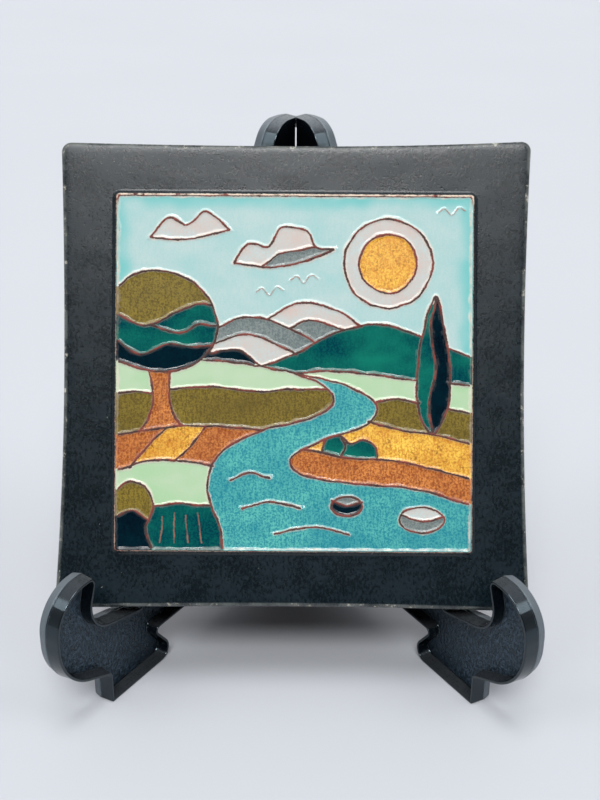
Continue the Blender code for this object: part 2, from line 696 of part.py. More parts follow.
def main():
    empty_scene()
    parts = new_collection(PART_COLLECTION)
    cutters = new_collection(CUTTER_COLLECTION)
    glaze = new_material("glazed ceramic", (0.035, 0.042, 0.045), 0.45)
    plastic = new_material("black plastic", (0.012, 0.014, 0.017), 0.25)
    make_tile(parts, cutters, glaze)
    make_half("stand_right", 1, parts, cutters, plastic)
    make_half("stand_left", -1, parts, cutters, plastic)


main()
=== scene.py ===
"""Looks of a glazed ceramic picture tile that leans in a folding display stand.

The tile is one closed mesh in place of its plain solid: border, panel, clay lines
and glazes are real relief. Sizes in the tile's own axes are millimetres: x to the
right, y up its face and z out of it. Each half of the stand is built again from the
sizes of its solid, with rounder edges and bends.
"""
import math
from collections import deque

import bmesh
import bpy
import numpy as np
from mathutils import Matrix, Vector, noise
from mathutils.geometry import delaunay_2d_cdt
from mathutils.kdtree import KDTree


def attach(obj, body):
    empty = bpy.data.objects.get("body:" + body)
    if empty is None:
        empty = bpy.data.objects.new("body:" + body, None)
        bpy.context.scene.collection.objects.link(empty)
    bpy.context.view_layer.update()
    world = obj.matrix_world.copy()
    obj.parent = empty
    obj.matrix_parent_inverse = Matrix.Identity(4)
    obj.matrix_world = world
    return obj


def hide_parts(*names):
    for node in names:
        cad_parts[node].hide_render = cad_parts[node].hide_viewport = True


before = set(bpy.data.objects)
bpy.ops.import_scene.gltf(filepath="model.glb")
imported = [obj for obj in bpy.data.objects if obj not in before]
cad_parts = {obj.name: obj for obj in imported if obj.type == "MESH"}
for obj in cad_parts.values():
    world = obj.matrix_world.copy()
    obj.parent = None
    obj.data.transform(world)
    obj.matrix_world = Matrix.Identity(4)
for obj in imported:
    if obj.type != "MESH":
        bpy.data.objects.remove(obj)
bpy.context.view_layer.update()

MM = 0.001

# Tile, in millimetres, as the solid has it
PICTURE_SIZE = 152.4
BORDER_SIDE = 22.0
BORDER_TOP = 20.7
BORDER_BOTTOM = 23.4
TILE_THICKNESS = 12.0
TILE_LEAN = math.radians(26.0)
# How far each corner flares out past the waists of its two edges, sideways and lengthways
CORNER_FLARES = {
    "bottom left": (3.5, 1.2),
    "bottom right": (2.9, 1.8),
    "top right": (2.5, 2.7),
    "top left": (1.7, 1.1),
}
CORNER_RADIUS = 4.4
FRONT_EDGE_RADIUS = 2.0
BACK_EDGE_RADIUS = 1.0
PANEL_RISE = 1.0
PANEL_SLOPE = 1.1
PANEL_CORNER_RADIUS = 1.6
LINE_END_INSET = 0.6
RIM_INSET = 0.9

# Stand halves, in millimetres, as the solids have them: a drafted plate each, hollowed on its
# inner face. Reach is measured along the plate from the hinge line, depth across it.
SEAT_HEIGHT = 37.9
SEAT_REACH = 103.3
REST_GAP = 0.3
HALF_ANGLE = math.radians(32.3)
PLATE_THICKNESS = 10.4
PARTING_DEPTH = 6.9
DRAFT = 0.5
EDGE_ROUND = 0.4
RIM_WIDTH = 1.2
RECESS_DEPTH = 5.6
RECESS_DRAFT = 0.3
STAND_HEIGHT = 226.6
CAP_RADIUS = 14.0
BACK_RADIUS = 13.0
BACK_OVERHANG = 13.0
HINGE_WALL = 6.5
CAP_DEPTH = 20.0
HOLLOW_TOP_WIDTH = 18.0
HOOK_REACH = 174.6
HOOK_HEIGHT = 68.4
HOOK_TIP_REACH = 148.6
HOOK_TIP_RADIUS = 3.5
HOOK_TOP_RADIUS = 19.0
BELLY_RADIUS = 27.0
BELLY_SLOPE = math.radians(23.4)
SADDLE_FRONT = 156.8
SADDLE_RADIUS = 12.2
SADDLE_SLOPE = math.radians(14.0)
SADDLE_BACK_RADIUS = 2.0
FOOT_FRONT = 145.8
FOOT_NECK_HEIGHT = 14.8
FOOT_RADIUS = 1.0
NECK_RADIUS = 1.5
HEEL_REACH = 99.6
HEEL_RADIUS = 5.8
HEEL_LEAN = math.radians(38.3)
ARCH_HEIGHT = 19.0
REAR_HEEL_REACH = 47.0
MITRE_GAP = 0.6
STOP_GAP = 0.05
STOP_HEIGHT = 4.6
KNUCKLE_RADIUS = 3.0
KNUCKLE_LENGTH = 10.0
PEG_RADIUS = 1.3
HINGE_CLEARANCE = 0.3
HINGE_HEIGHTS = (48.0, 178.0)

# How finely the stand's roundings are made, in millimetres
ARC_TOLERANCE = 0.012
HOLLOW_EDGE_ROUND = 0.25
FLOOR_FILLET = 0.8
BEND_PIECES = 4
SUPPORT = 0.12
OUTER_TRIM = 0.15
SKIN = 0.1
STRAIGHT_SHARES = (0.02, 0.08, 0.25, 0.5, 0.75, 0.92, 0.98)
KNUCKLE_SIDES = 48
SHARP_ANGLE = math.radians(28.0)

# Relief of the clay lines and glazes, in millimetres, and shares for what varies
LINE_HEIGHT = 0.6
LINE_WIDTH = 0.6
STROKE_HEIGHT = 0.22
STROKE_WIDTH = 0.4
LINE_UNEVENNESS = 0.35
LINE_SWELL = 0.5
HAND_WANDER = 0.5
HAND_TREMOR = 0.16
HAND_FADE = 6.0
GLAZE_RIPPLE = 0.04
EDGE_DROP = 0.06
EDGE_DROP_WIDTH = 6.0
BORDER_RIPPLE = 0.06
EDGE_DENT = 0.12
DENT_WIDTH = 9.0
DENT_DEPTH = 6.0
# Where the front edge's rounding is most worn and gets the most painted highlight, from its start, and how
# widely
ARRIS_ANGLE = math.radians(38.0)
ARRIS_SPREAD = math.radians(38.0)
# Steps round the front edge, down the side and round the back edge
EDGE_STEPS = (7, 6, 4)
# Soft noises over the tile's face: width and height of their lumps, and seed
FACE_NOISES = {
    "wander across": (7.0, 7.0, 3.1),
    "wander up": (7.0, 7.0, 9.4),
    "tremor across": (1.7, 1.7, 5.2),
    "tremor up": (1.7, 1.7, 6.6),
    "line width": (4.0, 4.0, 6.3),
    "line height": (2.5, 2.5, 1.5),
    "glaze ripple": (6.0, 6.0, 4.2),
    "border ripple": (16.0, 9.0, 7.7),
    "broad drift": (17.0, 9.0, 2.4),
    "close drift": (6.0, 4.0, 8.1),
    "sky rim": (9.0, 9.0, 5.5),
}

# How closely the tile's mesh follows its relief, in millimetres
LINE_STEP = 0.55
LINE_OFFSETS = (0.0, 0.3, 0.6, 0.9, 1.35, 2.0)
STROKE_OFFSETS = (0.0, 0.25, 0.5, 0.9)
PANEL_OFFSETS = (-0.3, 0.0, 0.3, 0.6, 0.9, 1.2, 1.7, 2.6)
PANEL_STEP = 0.9
CELL_STEP = 1.5
BORDER_STEP = 2.2
BACK_STEP = 4.0
CLOSEST = 0.24
GRID_STEP = 0.4
DENSE_STEP = 0.2
OUTLINE_STEP = 1.6
CORNER_PIECES = 8
FAR = 9.0

# The picture's clay lines: each is a smooth curve through its points, measured from the
# picture's centre, and is closed where it ends at its first point
HALF_PICTURE = 76.2
PICTURE_LINES = [
    # Round tree: crown, its upper, middle and lower folds, and the trunk's two sides
    [(-76.2, 36), (-66, 43), (-50, 42), (-37, 32), (-33, 17), (-42, 4), (-58, 0), (-76.2, 5)],
    [(-76.2, 25), (-64, 20), (-52, 25), (-42, 29), (-35.5, 29)],
    [(-61, 20.4), (-50, 17), (-41, 20.5), (-33.3, 20)],
    [(-76.2, 14), (-66, 8), (-54, 12), (-43, 11), (-35, 12)],
    [(-62, 0.2), (-60, -9), (-61.5, -18), (-66, -25.4)],
    [(-53, 0.2), (-53.5, -9), (-52, -17), (-48, -23)],
    # Large cloud: top, base and fold
    [(-26, 47), (-20, 55), (-11, 54), (-6, 62), (5, 61), (9, 54), (17, 53)],
    [(-26, 47), (-10, 45), (4, 48), (17, 53)],
    [(-14, 45.3), (-7, 51), (2, 52.5), (9, 54)],
    # Small cloud: top and base
    [(-62, 58), (-54, 66), (-46, 63), (-38, 69), (-28, 61)],
    [(-62, 58), (-45, 57), (-28, 61)],
    # Far hill with two bands, and the hill behind it with one
    [(-33, 19), (-20, 24), (-4, 20), (9, 13)],
    [(-33.5, 13), (-20, 16.5), (-4, 10.5), (1, 8)],
    [(-36, 8), (-24, 10), (-14, 2.5)],
    [(-12, 22.7), (2, 30), (18, 27), (29, 20.2)],
    [(-2, 19.3), (8, 22.5), (21, 18.4)],
    # Green hill, left and right of the cypress
    [(-14, 2.5), (2, 9), (18, 17.5), (36, 21), (54.6, 15.8)],
    [(66, 11), (76.2, 7)],
    # Plain, left and right of the river, and right of the cypress
    [(-40, 5.5), (-26, 4.5), (-14, 2.5), (0, 0)],
    [(0, 0), (20, 1), (38, -1), (52.5, -3)],
    [(66.4, -4), (76.2, -5)],
    # River: left and right bank
    [(0, 0), (12, -5), (17, -12), (8, -19), (-14, -25), (-32, -35), (-37, -50), (-32, -64), (-30, -76.2)],
    [(0, 0), (22, -5), (35, -13), (31, -22), (12, -29), (-1, -36), (3, -43), (24, -47), (50, -49),
     (76.2, -56)],
    # Fields on the left, from far to near, then two furrows
    [(-53.3, -7), (-36, -6), (-18, -8), (-2, -7), (14.5, -7)],
    [(-76.2, -9), (-68, -8.5), (-60.2, -9)],
    [(-76.2, -27), (-65, -25), (-49, -23), (-32, -23), (-13, -24.7)],
    [(-76.2, -42), (-62, -38), (-46, -38), (-34.5, -40)],
    [(-60, -57), (-48, -56), (-35.6, -57)],
    [(-54, -23.2), (-61, -30), (-70, -40.6)],
    [(-38, -23), (-43, -30), (-51, -38)],
    # Fields on the right, from far to near
    [(35.5, -12), (44, -11), (53.4, -12.5)],
    [(66, -15), (76.2, -17)],
    [(32, -20.5), (46, -24), (60, -26), (76.2, -30)],
    [(4, -32.5), (24, -36), (48, -38), (76.2, -45)],
    # Cypress and its fold
    [(59, -25.8), (53, -14), (53, 4), (56, 22), (60.5, 33), (64, 20), (66.5, 4), (66, -14), (59, -25.8)],
    [(60.5, 33), (58.5, 18), (60.5, 2), (58, -12), (59, -25.8)],
    # Folds of the two stones
    [(45.7, -60.5), (55, -63), (64.4, -61)],
    [(16.6, -54.5), (23, -56.6), (29.4, -55)],
    # Bush and its fold, hedge and its fold
    [(-76.2, -51), (-71, -47), (-64, -49), (-60, -57), (-63, -67), (-60, -76.2)],
    [(-76.2, -62), (-69, -59), (-62.2, -63)],
    [(12, -33.8), (14, -28.3), (20, -27), (24, -30), (30, -28.5), (35, -31), (36, -36.8)],
    [(20, -27), (22, -31), (20, -35.3)],
    # Ripples
    [(-27, -46), (-19, -43), (-10, -45)],
    [(-22, -58), (-10, -55), (3, -58)],
    [(-8, -69), (8, -66), (24, -69)],
]
# Sun, its ring and the two stones: centre, half width and half height
PICTURE_ROUNDS = [
    ((40, 47), 12.5, 12.5),
    ((40, 47), 19.0, 19.0),
    ((55, -62.5), 9.6, 5.4),
    ((23, -57), 6.6, 4.2),
]
ROUND_POINTS = 8
# Thin strokes: crop rows in the near field, and birds in the sky
CROP_ROWS = [
    [(-56, -62), (-57, -73)],
    [(-51, -60), (-51, -73)],
    [(-46, -61), (-45, -73)],
    [(-41, -60), (-39, -73)],
]
BIRD_STROKE = [(-5.5, 1.2), (-3, 2.8), (0, 0), (3.2, 3.2), (6, 1.8)]
BIRD_PLACES = [(-11, 33.5), (4, 38.5), (67, 68)]

# Glazes: colour, second colour, how much they mix broadly, mottle and speckle,
# how far the pale thin glaze spreads at the clay lines, and roughness
GLAZES = {
    "sky": ((180, 200, 198), (116, 186, 184), 0.35, 0.2, 0.0, 1.0, 0.14),
    "sun": ((236, 188, 74), (196, 120, 34), 0.45, 0.8, 0.8, 0.3, 0.28),
    "cream": ((182, 200, 199), (204, 174, 163), 0.6, 0.4, 0.0, 0.9, 0.16),
    "grey": ((126, 136, 133), (86, 98, 100), 0.3, 0.7, 0.3, 0.3, 0.24),
    "navy": ((1, 12, 24), (3, 42, 52), 0.35, 0.3, 0.0, 0.1, 0.06),
    "green": ((0, 54, 66), (20, 124, 102), 0.55, 0.25, 0.0, 0.2, 0.07),
    "olive": ((132, 114, 46), (88, 74, 34), 0.45, 0.85, 0.4, 0.25, 0.22),
    "celadon": ((162, 197, 155), (188, 203, 178), 0.6, 0.15, 0.0, 0.9, 0.13),
    "turquoise": ((92, 178, 168), (28, 120, 138), 0.6, 0.85, 0.1, 0.5, 0.18),
    "orange": ((208, 132, 66), (132, 58, 22), 0.5, 0.85, 0.75, 0.2, 0.30),
    "yellow": ((244, 200, 82), (184, 108, 28), 0.6, 0.75, 0.95, 0.25, 0.30),
}
# A point in each cell that a glaze fills
CELLS = {
    "sky": [(-70, 70)],
    "sun": [(40, 47)],
    "cream": [(40, 62.6), (0, 57), (-46, 60), (-22, 12.5), (2, 25), (55, -60)],
    "grey": [(-5, 48), (-20, 20.5), (8, 19), (55, -65.5), (23, -54.6)],
    "navy": [(-56, 5), (-28, 7.5), (-70, -70), (63, 0), (23, -59)],
    "green": [(-45, 24), (-60, 15), (32, 10), (71, 2), (-50, -66), (17, -31), (28, -32), (55.5, 0)],
    "olive": [(-60, 34), (-30, -15), (-70, -17), (44, -17), (71, -22), (-70, -54)],
    "celadon": [(-30, -1), (-70, -3), (44, -6), (71, -10), (-55, -46), (-38, -47)],
    "turquoise": [(8, -3), (0, -50)],
    "orange": [(-57, -9), (-72, -33), (-30, -30), (50, -44)],
    "yellow": [(-55, -31), (50, -32), (8, -32.3)],
}
# How a cell drifts to its second colour: in the middle, and by its broad and close noise
DRIFT = (0.45, 0.81, 0.36)
# The second colour along the sky's rim: most of it, where it starts and ends, and its wander
SKY_RIM_SHARE = 0.75
SKY_RIM_START = 1.5
SKY_RIM_END = 9.0
SKY_RIM_WANDER = 2.5
# What the points away from the front face store, where that isn't 0
OFF_FRONT = {"clay": FAR, "stroke": FAR, "inside": -FAR, "rough": 0.4}

# Surfaces that aren't glaze, as screen colours
CLAY_DARK = (46, 8, 6)
CLAY_LIGHT = (114, 38, 27)
# CLAY_PALE_AND_HIGHLIGHT is pale clay on the lines and the rim's sides, and painted highlight along the
# rim's top
CLAY_PALE_AND_HIGHLIGHT = (214, 196, 176)
HALO = (220, 206, 192)
STROKE_CLAY = (158, 104, 88)
BORDER_DARK = (0, 12, 18)
BORDER_LIGHT = (8, 26, 34)
# ARRIS_WEAR_AND_HIGHLIGHT is the pale band round the edge's rounding: partly worn thin glaze, partly
# painted highlight
ARRIS_WEAR_AND_HIGHLIGHT = (112, 116, 112)
WORN = (206, 202, 186)
BACK_CLAY = (158, 88, 62)
BACK_CLAY_PALE = (190, 128, 98)
PLASTIC = (5, 8, 12)
PLASTIC_GRAIN = (2, 13, 25)
# PLASTIC_PEBBLE_HIGHLIGHT is painted highlight on the pebble tops of the hollow's floor
PLASTIC_PEBBLE_HIGHLIGHT = (50, 66, 82)
PLASTIC_OUTER = (84, 90, 96)
# PLASTIC_TOP_LIGHT_AND_DUST is painted light on the stand's upward-facing upper faces, and the colour of
# its small dust specks
PLASTIC_TOP_LIGHT_AND_DUST = (146, 152, 158)
FLOOR = (192, 195, 201)
FLOOR_DARK = (188, 191, 197)
# The dark in the glazes' flecks and the plastic's sheen, as linear light
FLECK_DARK = (0.02, 0.008, 0.004, 1.0)
PLASTIC_SHEEN = (0.68, 0.88, 1.0, 1.0)
PLASTIC_SPECULAR = 0.7
CLAY_ROUGHNESS = 0.7
BACK_ROUGHNESS = 0.85
FLOOR_ROUGHNESS = 0.6
# How far the floor reaches to each side, in metres
FLOOR_REACH = 6.0
# Heights of the finest grain, in metres
GLAZE_GRAIN = 0.00012
PLASTIC_GRAIN_HEIGHT = 0.00025
FLOOR_GRAIN = 0.0001
# Depth across a stand half's edge from which it is satin and grey
SATIN_DEPTH = 6.2
# The materials' soft noises: scale, or one for each axis, detail, roughness and distortion
PATTERNS = {
    "wander": (1.3, 2.0),
    "broad": (0.22, 4.0, 0.6),
    "runs": ((1.1, 0.22, 1.0), 3.0, 0.6),
    "grains": (1.15, 3.0, 0.7, 0.3),
    "flecks": (0.85, 3.0, 0.7, 0.5),
    "thin glaze": (0.3, 3.0, 0.6),
    "fine grain": (1.5, 3.0, 0.6),
    "pale clay": (0.2, 4.0, 0.7),
    "stroke gaps": (0.45, 3.0),
    "brushed": ((0.9, 0.5, 0.9), 3.0, 0.65),
    "clouds": (0.07, 4.0, 0.6),
    "worn": (0.22, 6.0, 0.8),
    "nicks": (0.5, 3.0, 0.6),
    "bare edge": (0.12, 4.0),
    "back clay": (0.3, 5.0, 0.6),
    "waves": (0.12, 2.0, 0.5),
    "pebbles": ((1.0, 1.0, 0.7), 2.0, 0.6, 0.4),
    "specks": (0.9, 4.0, 0.7),
    "gloss": (0.25, 4.0, 0.6),
}
# The materials' soft steps: from and to, then start and end where they aren't 0 and 1
STEPS = {
    "mottled": (0.43, 0.58),
    "gathered": (0.42, 0.58, 0.15, 1.0),
    "flecked": (0.5, 0.62),
    "haloed glaze": (0.0, 0.7),
    "inside the rim": (0.8, 1.1),
    "halo patches": (0.35, 0.6, 0.9, 0.35),
    "glazed rim": (1.3, 1.7, 1.0, 0.0),
    "bare line": (0.3, 0.62, 1.0, 0.0),
    "bare rim": (-0.12, 0.12, 1.0, 0.0),
    "light clay": (0.42, 0.6),
    "pale clay": (0.34, 0.5),
    "light border": (0.4, 0.6),
    "worn and lit edge": (0.4, 0.6, 0.15, 0.6),
    # thin border: the pale edge band, partly worn thin glaze, partly painted highlight
    "worn": (0.56, 0.64),
    "nicked": (0.745, 0.77),
    "stroke": (0.12, 0.46, 0.85, 0.0),
    "stroke gaps": (0.35, 0.6, 0.4, 1.0),
    "border": (0.1, 0.4, 1.0, 0.0),
    "bare back": (4.6, 5.2),
    "pale back": (0.35, 0.65),
    "beside a line": (0.8, 1.9, 1.0, 0.0),
    "thin roughness": (0.4, 0.58, 0.42, 0.12),
    "border roughness": (0.4, 0.6, 0.25, 0.32),
    "recess floor": (0.02, 0.12, 1.0, 0.0),
    # pebbled and handled: painted highlight on the pebble tops, fading to painted shade towards the heel
    "lit pebble tops": (0.42, 0.64),
    "lit towards the front": (HEEL_REACH, SADDLE_FRONT, 0.12, 1.0),
    # dusty height and dust patches: where painted light goes on upward faces high on the stand
    "lit top height": (HOOK_HEIGHT, STAND_HEIGHT - CAP_RADIUS, 0.1, 0.5),
    "facing up": (0.55, 1.0),
    "top light patches": (0.3, 0.6, 0.6, 1.0),
    "dust specks": (0.66, 0.8, 0.0, 0.12),
    "gloss roughness": (0.4, 0.65, 0.06, 0.18),
    "satin roughness": (0.35, 0.65, 0.34, 0.46),
    "pebble roughness": (0.35, 0.65, 0.3, 0.46),
}
# Where the pale glaze beside a line starts, where it ends, and how much further it can reach
HALO_START = 0.55
HALO_END = 0.7
HALO_SPREAD = 0.8
# Bare clay of the rim: its width at the sides and along the top, and where the top begins; the wider band
# along the top is painted highlight on the rim's upward-facing slope
RIM_WIDTHS = (0.64, 0.95)
LIT_RIM_TOP = (6.0, 2.0)
# How much of the bare clay is pale: on the lines, on the rim's sides and along its top, where the paleness
# is painted highlight
PALE_AND_LIT_SHARES = (0.03, 0.4, 0.95)

# Light: the surround, dim where the camera is, then each broad light's name, strength,
# width, and height and turn from straight in front in degrees
SURROUND_COLOUR = (0.96, 0.98, 1.0, 1.0)
SURROUND_DIM = 0.03
SURROUND_DIM_START = math.radians(20.0)
SURROUND_DIM_END = math.radians(74.0)
SURROUND_BRIGHT = 0.58
LIGHTS = [
    ("front left light", 1.0, 16.0, 49.5, -12.0),
    ("front right light", 1.0, 16.0, 49.5, 9.0),
    ("overhead light", 1.25, 26.0, 80.0, 0.0),
    ("left light", 0.4, 24.0, 50.0, -65.0),
    ("right light", 0.4, 24.0, 50.0, 65.0),
]

# Camera: how the photograph was taken, in its own pixels where named so
IMAGE_WIDTH = 600
IMAGE_HEIGHT = 800
SENSOR_WIDTH = 36.0
FOCAL_PIXELS = 1200.0
PIXELS_PER_METRE = 2350.0
CAMERA_PITCH = math.radians(26.0)
CAMERA_ROLL = math.radians(0.35)
PICTURE_CENTRE_PIXEL = (294.1, 373.1)


def linear(colour):
    """A screen colour of 0 to 255 as linear light, with full alpha."""
    light = []
    for value in colour:
        share = value / 255
        light.append(share / 12.92 if share <= 0.04045 else ((share + 0.055) / 1.055) ** 2.4)
    return (*light, 1.0)


def smooth_step(value, low, high):
    """0 below low, 1 above high and a soft rise between, for numbers and arrays."""
    share = np.clip((value - low) / (high - low), 0.0, 1.0)
    return share * share * (3 - 2 * share)


def noise_at(points, width, height, seed):
    """Soft noise of about -1 to 1 at 2D points, with lumps of the given width and height."""
    values = np.empty(len(points))
    for index, (x, y) in enumerate(points):
        values[index] = noise.noise(Vector((x / width, y / height, seed)))
    return values


def face_noise(points, name):
    """The named soft noise at points of the tile's face."""
    return noise_at(points, *FACE_NOISES[name])


def smooth_line(points, step):
    """Points about a step apart on a smooth curve, closed where the last given point is the first."""
    spots = [Vector(point) for point in points]
    closed = spots[0] == spots[-1]
    if closed:
        spots = [spots[-2], *spots, spots[1]]
    else:
        spots = [2 * spots[0] - spots[1], *spots, 2 * spots[-1] - spots[-2]]
    line = []
    for before, start, end, after in zip(spots, spots[1:], spots[2:], spots[3:]):
        pieces = max(1, round((end - start).length / step))
        for piece in range(pieces):
            t = piece / pieces
            line.append(0.5 * (
                2 * start + (end - before) * t
                + (2 * before - 5 * start + 4 * end - after) * t ** 2
                + (3 * start - before - 3 * end + after) * t ** 3
            ))
    if not closed:
        line.append(spots[-2])
    return np.array(line)


def hand_drawn(line):
    """The line with a small wander that depends on the place alone, so that lines that meet still meet."""
    fade = smooth_step(inside_panel(line), RIM_INSET, HAND_FADE)[:, None]
    wander, tremor = (
        np.stack([face_noise(line, f"{kind} {way}") for way in ("across", "up")], axis=1)
        for kind in ("wander", "tremor")
    )
    return line + fade * (HAND_WANDER * wander + HAND_TREMOR * tremor)


def picture_lines(step):
    """The raised clay lines, the square rim first, then the thin strokes, as lists of points."""
    lines = list(PICTURE_LINES)
    angles = 2 * math.pi * np.arange(ROUND_POINTS) / ROUND_POINTS
    for (x, y), half_width, half_height in PICTURE_ROUNDS:
        points = [(x + half_width * math.cos(angle), y + half_height * math.sin(angle)) for angle in angles]
        lines.append(points + points[:1])
    strokes = list(CROP_ROWS)
    for place in BIRD_PLACES:
        strokes.append([Vector(place) + Vector(point) for point in BIRD_STROKE])
    scale = (PICTURE_SIZE / 2 - LINE_END_INSET) / HALF_PICTURE
    clay, thin = (
        [hand_drawn(smooth_line(points, step / scale) * scale) for points in group]
        for group in (lines, strokes)
    )
    return [rounded_square(PICTURE_SIZE / 2 - RIM_INSET, PANEL_CORNER_RADIUS, step), *clay], thin


def rounded_square(reach, radius, step):
    """Points about a step apart round a square with rounded corners, anticlockwise."""
    radius = max(radius, step / 4)
    straight = 2 * (reach - radius)
    points = []
    for turn in range(4):
        angle = turn * math.pi / 2
        along = np.array((-math.sin(angle), math.cos(angle)))
        out = np.array((math.cos(angle), math.sin(angle)))
        pieces = max(1, round(straight / step))
        for piece in range(pieces):
            points.append(out * reach + along * (piece / pieces - 0.5) * straight)
        pieces = max(2, round(radius * math.pi / 2 / step))
        for piece in range(pieces):
            bend = angle + piece / pieces * math.pi / 2
            centre = (out + along) * (reach - radius)
            points.append(centre + radius * np.array((math.cos(bend), math.sin(bend))))
    return np.array(points)


def tile_outline():
    """The tile's flared outline, anticlockwise, with rounded corners."""
    left = -PICTURE_SIZE / 2 - BORDER_SIDE
    right = -left
    bottom = -PICTURE_SIZE / 2 - BORDER_BOTTOM
    top = PICTURE_SIZE / 2 + BORDER_TOP
    flares = CORNER_FLARES
    corners = [
        (left - flares["bottom left"][0], bottom - flares["bottom left"][1]),
        (right + flares["bottom right"][0], bottom - flares["bottom right"][1]),
        (right + flares["top right"][0], top + flares["top right"][1]),
        (left - flares["top left"][0], top + flares["top left"][1]),
    ]
    waists = [((left + right) / 2, bottom), (right, (bottom + top) / 2),
              ((left + right) / 2, top), (left, (bottom + top) / 2)]
    outline = []
    for index in range(4):
        start, waist, end = corners[index], waists[index], corners[(index + 1) % 4]
        along = index % 2
        across = 1 - along
        length = abs(end[along] - start[along])
        pieces = round(length / OUTLINE_STEP)
        trim = CORNER_RADIUS / length * 2
        for piece in range(pieces + 1):
            share = (2 * piece / pieces - 1) * (1 - trim)
            near = start if share < 0 else end
            point = [0.0, 0.0]
            point[along] = waist[along] + (near[along] - waist[along]) * abs(share)
            point[across] = waist[across] + (near[across] - waist[across]) * share ** 2
            outline.append(point)
        outline.append(("corner", end))
    return round_the_corners(outline)


def round_the_corners(outline):
    """Put a round bend of a few points where each sharp corner is marked."""
    smooth = []
    for index, point in enumerate(outline):
        if point[0] != "corner":
            smooth.append(point)
            continue
        start = np.array(outline[index - 1])
        end = np.array(outline[(index + 1) % len(outline)])
        for piece in range(1, CORNER_PIECES):
            t = piece / CORNER_PIECES
            shares = np.array(((1 - t) ** 2, 2 * math.sqrt(0.5) * t * (1 - t), t ** 2))
            bend = shares[0] * start + shares[1] * np.array(point[1]) + shares[2] * end
            smooth.append(list(bend / shares.sum()))
    return np.array(smooth)


def side_directions(line, closed=True):
    """Directions to the right of a line at its points, which is outwards round an anticlockwise one."""
    if closed:
        ahead = np.roll(line, -1, axis=0) - np.roll(line, 1, axis=0)
    else:
        ahead = np.gradient(line, axis=0)
    ahead /= np.linalg.norm(ahead, axis=1)[:, None]
    return np.stack((ahead[:, 1], -ahead[:, 0]), axis=1)


def tree_of(points):
    tree = KDTree(len(points))
    for index, (x, y) in enumerate(points):
        tree.insert((x, y, 0.0), index)
    tree.balance()
    return tree


def distances(points, tree, most=FAR):
    """How far each 2D point is from the nearest one in the tree, up to a limit."""
    values = np.empty(len(points))
    for index, (x, y) in enumerate(points):
        values[index] = tree.find((x, y, 0.0))[2]
    return np.minimum(values, most)


def inside_panel(points):
    """How far each point is inside the picture panel's edge, negative outside."""
    core = PICTURE_SIZE / 2 - PANEL_CORNER_RADIUS
    over = np.abs(points) - core
    out = np.linalg.norm(np.maximum(over, 0.0), axis=1)
    return PANEL_CORNER_RADIUS - out - np.minimum(over.max(axis=1), 0.0)


def beside(line, offsets, closed):
    """Points on a line and at offsets to both its sides."""
    side = side_directions(line, closed)
    spots = []
    for offset in offsets:
        spots.append(line + side * offset)
        if offset:
            spots.append(line - side * offset)
    return spots


def square_grid(reach_x, reach_y, step):
    """A staggered grid of points that covers a rectangle about the middle."""
    points = []
    rows = int(reach_y / step / math.sin(math.pi / 3))
    columns = int(reach_x / step)
    for row in range(-rows, rows + 1):
        for column in range(-columns, columns + 1):
            points.append(((column + (row % 2) / 2) * step, row * step * math.sin(math.pi / 3)))
    return np.array(points)


def thin_out(groups):
    """All groups' points in one list, leaving out those that crowd an earlier one."""
    taken = {}
    kept = []
    for group in groups:
        for x, y in group:
            column, row = math.floor(x / CLOSEST), math.floor(y / CLOSEST)
            crowded = False
            for dc in (-1, 0, 1):
                for dr in (-1, 0, 1):
                    other = taken.get((column + dc, row + dr))
                    if other and (other[0] - x) ** 2 + (other[1] - y) ** 2 < CLOSEST ** 2:
                        crowded = True
            if not crowded:
                taken[(column, row)] = (x, y)
                kept.append((x, y))
    return np.array(kept)


def face_points(ring, clay, strokes, clay_tree):
    """The points of the tile's front face inside its edge ring, close together where the relief is fine."""
    groups = []
    for line in clay:
        closed = np.linalg.norm(line[0] - line[-1]) < 2 * LINE_STEP
        groups += beside(line, LINE_OFFSETS, closed)
    for line in strokes:
        groups += beside(line, STROKE_OFFSETS, False)
    reach = PICTURE_SIZE / 2
    for offset in PANEL_OFFSETS:
        groups.append(rounded_square(reach + offset, PANEL_CORNER_RADIUS + offset, PANEL_STEP))
    cells = square_grid(reach, reach, CELL_STEP)
    cells = cells[inside_panel(cells) > RIM_INSET]
    cells = cells[distances(cells, clay_tree) > LINE_OFFSETS[-1]]
    border = square_grid(reach + 2 * BORDER_SIDE, reach + 2 * BORDER_SIDE, BORDER_STEP)
    border = border[inside_panel(border) < -PANEL_OFFSETS[-1]]
    groups += [cells, border]
    points = thin_out(groups)
    return points[inset_from(points, ring) > BORDER_STEP / 3]


def inset_from(points, ring):
    """Signed distance of points inside an anticlockwise ring, found from its nearest side."""
    normals = side_directions(ring)
    tree = tree_of(ring)
    values = np.empty(len(points))
    for index, (x, y) in enumerate(points):
        near = tree.find((x, y, 0.0))[1]
        values[index] = (ring[near][0] - x) * normals[near][0] + (ring[near][1] - y) * normals[near][1]
    return values


def triangulate(ring, points):
    """Triangles over all points inside the ring: new points, faces, and the ring's own places in them."""
    count = len(ring)
    spots = [Vector(point) for point in ring] + [Vector(point) for point in points]
    sides = [(index, (index + 1) % count) for index in range(count)]
    made, _, faces, origins, _, _ = delaunay_2d_cdt(spots, sides, [], 1, 1e-5)
    places = {}
    for index, sources in enumerate(origins):
        for source in sources:
            places[source] = index
    return np.array(made), faces, [places[index] for index in range(count)]


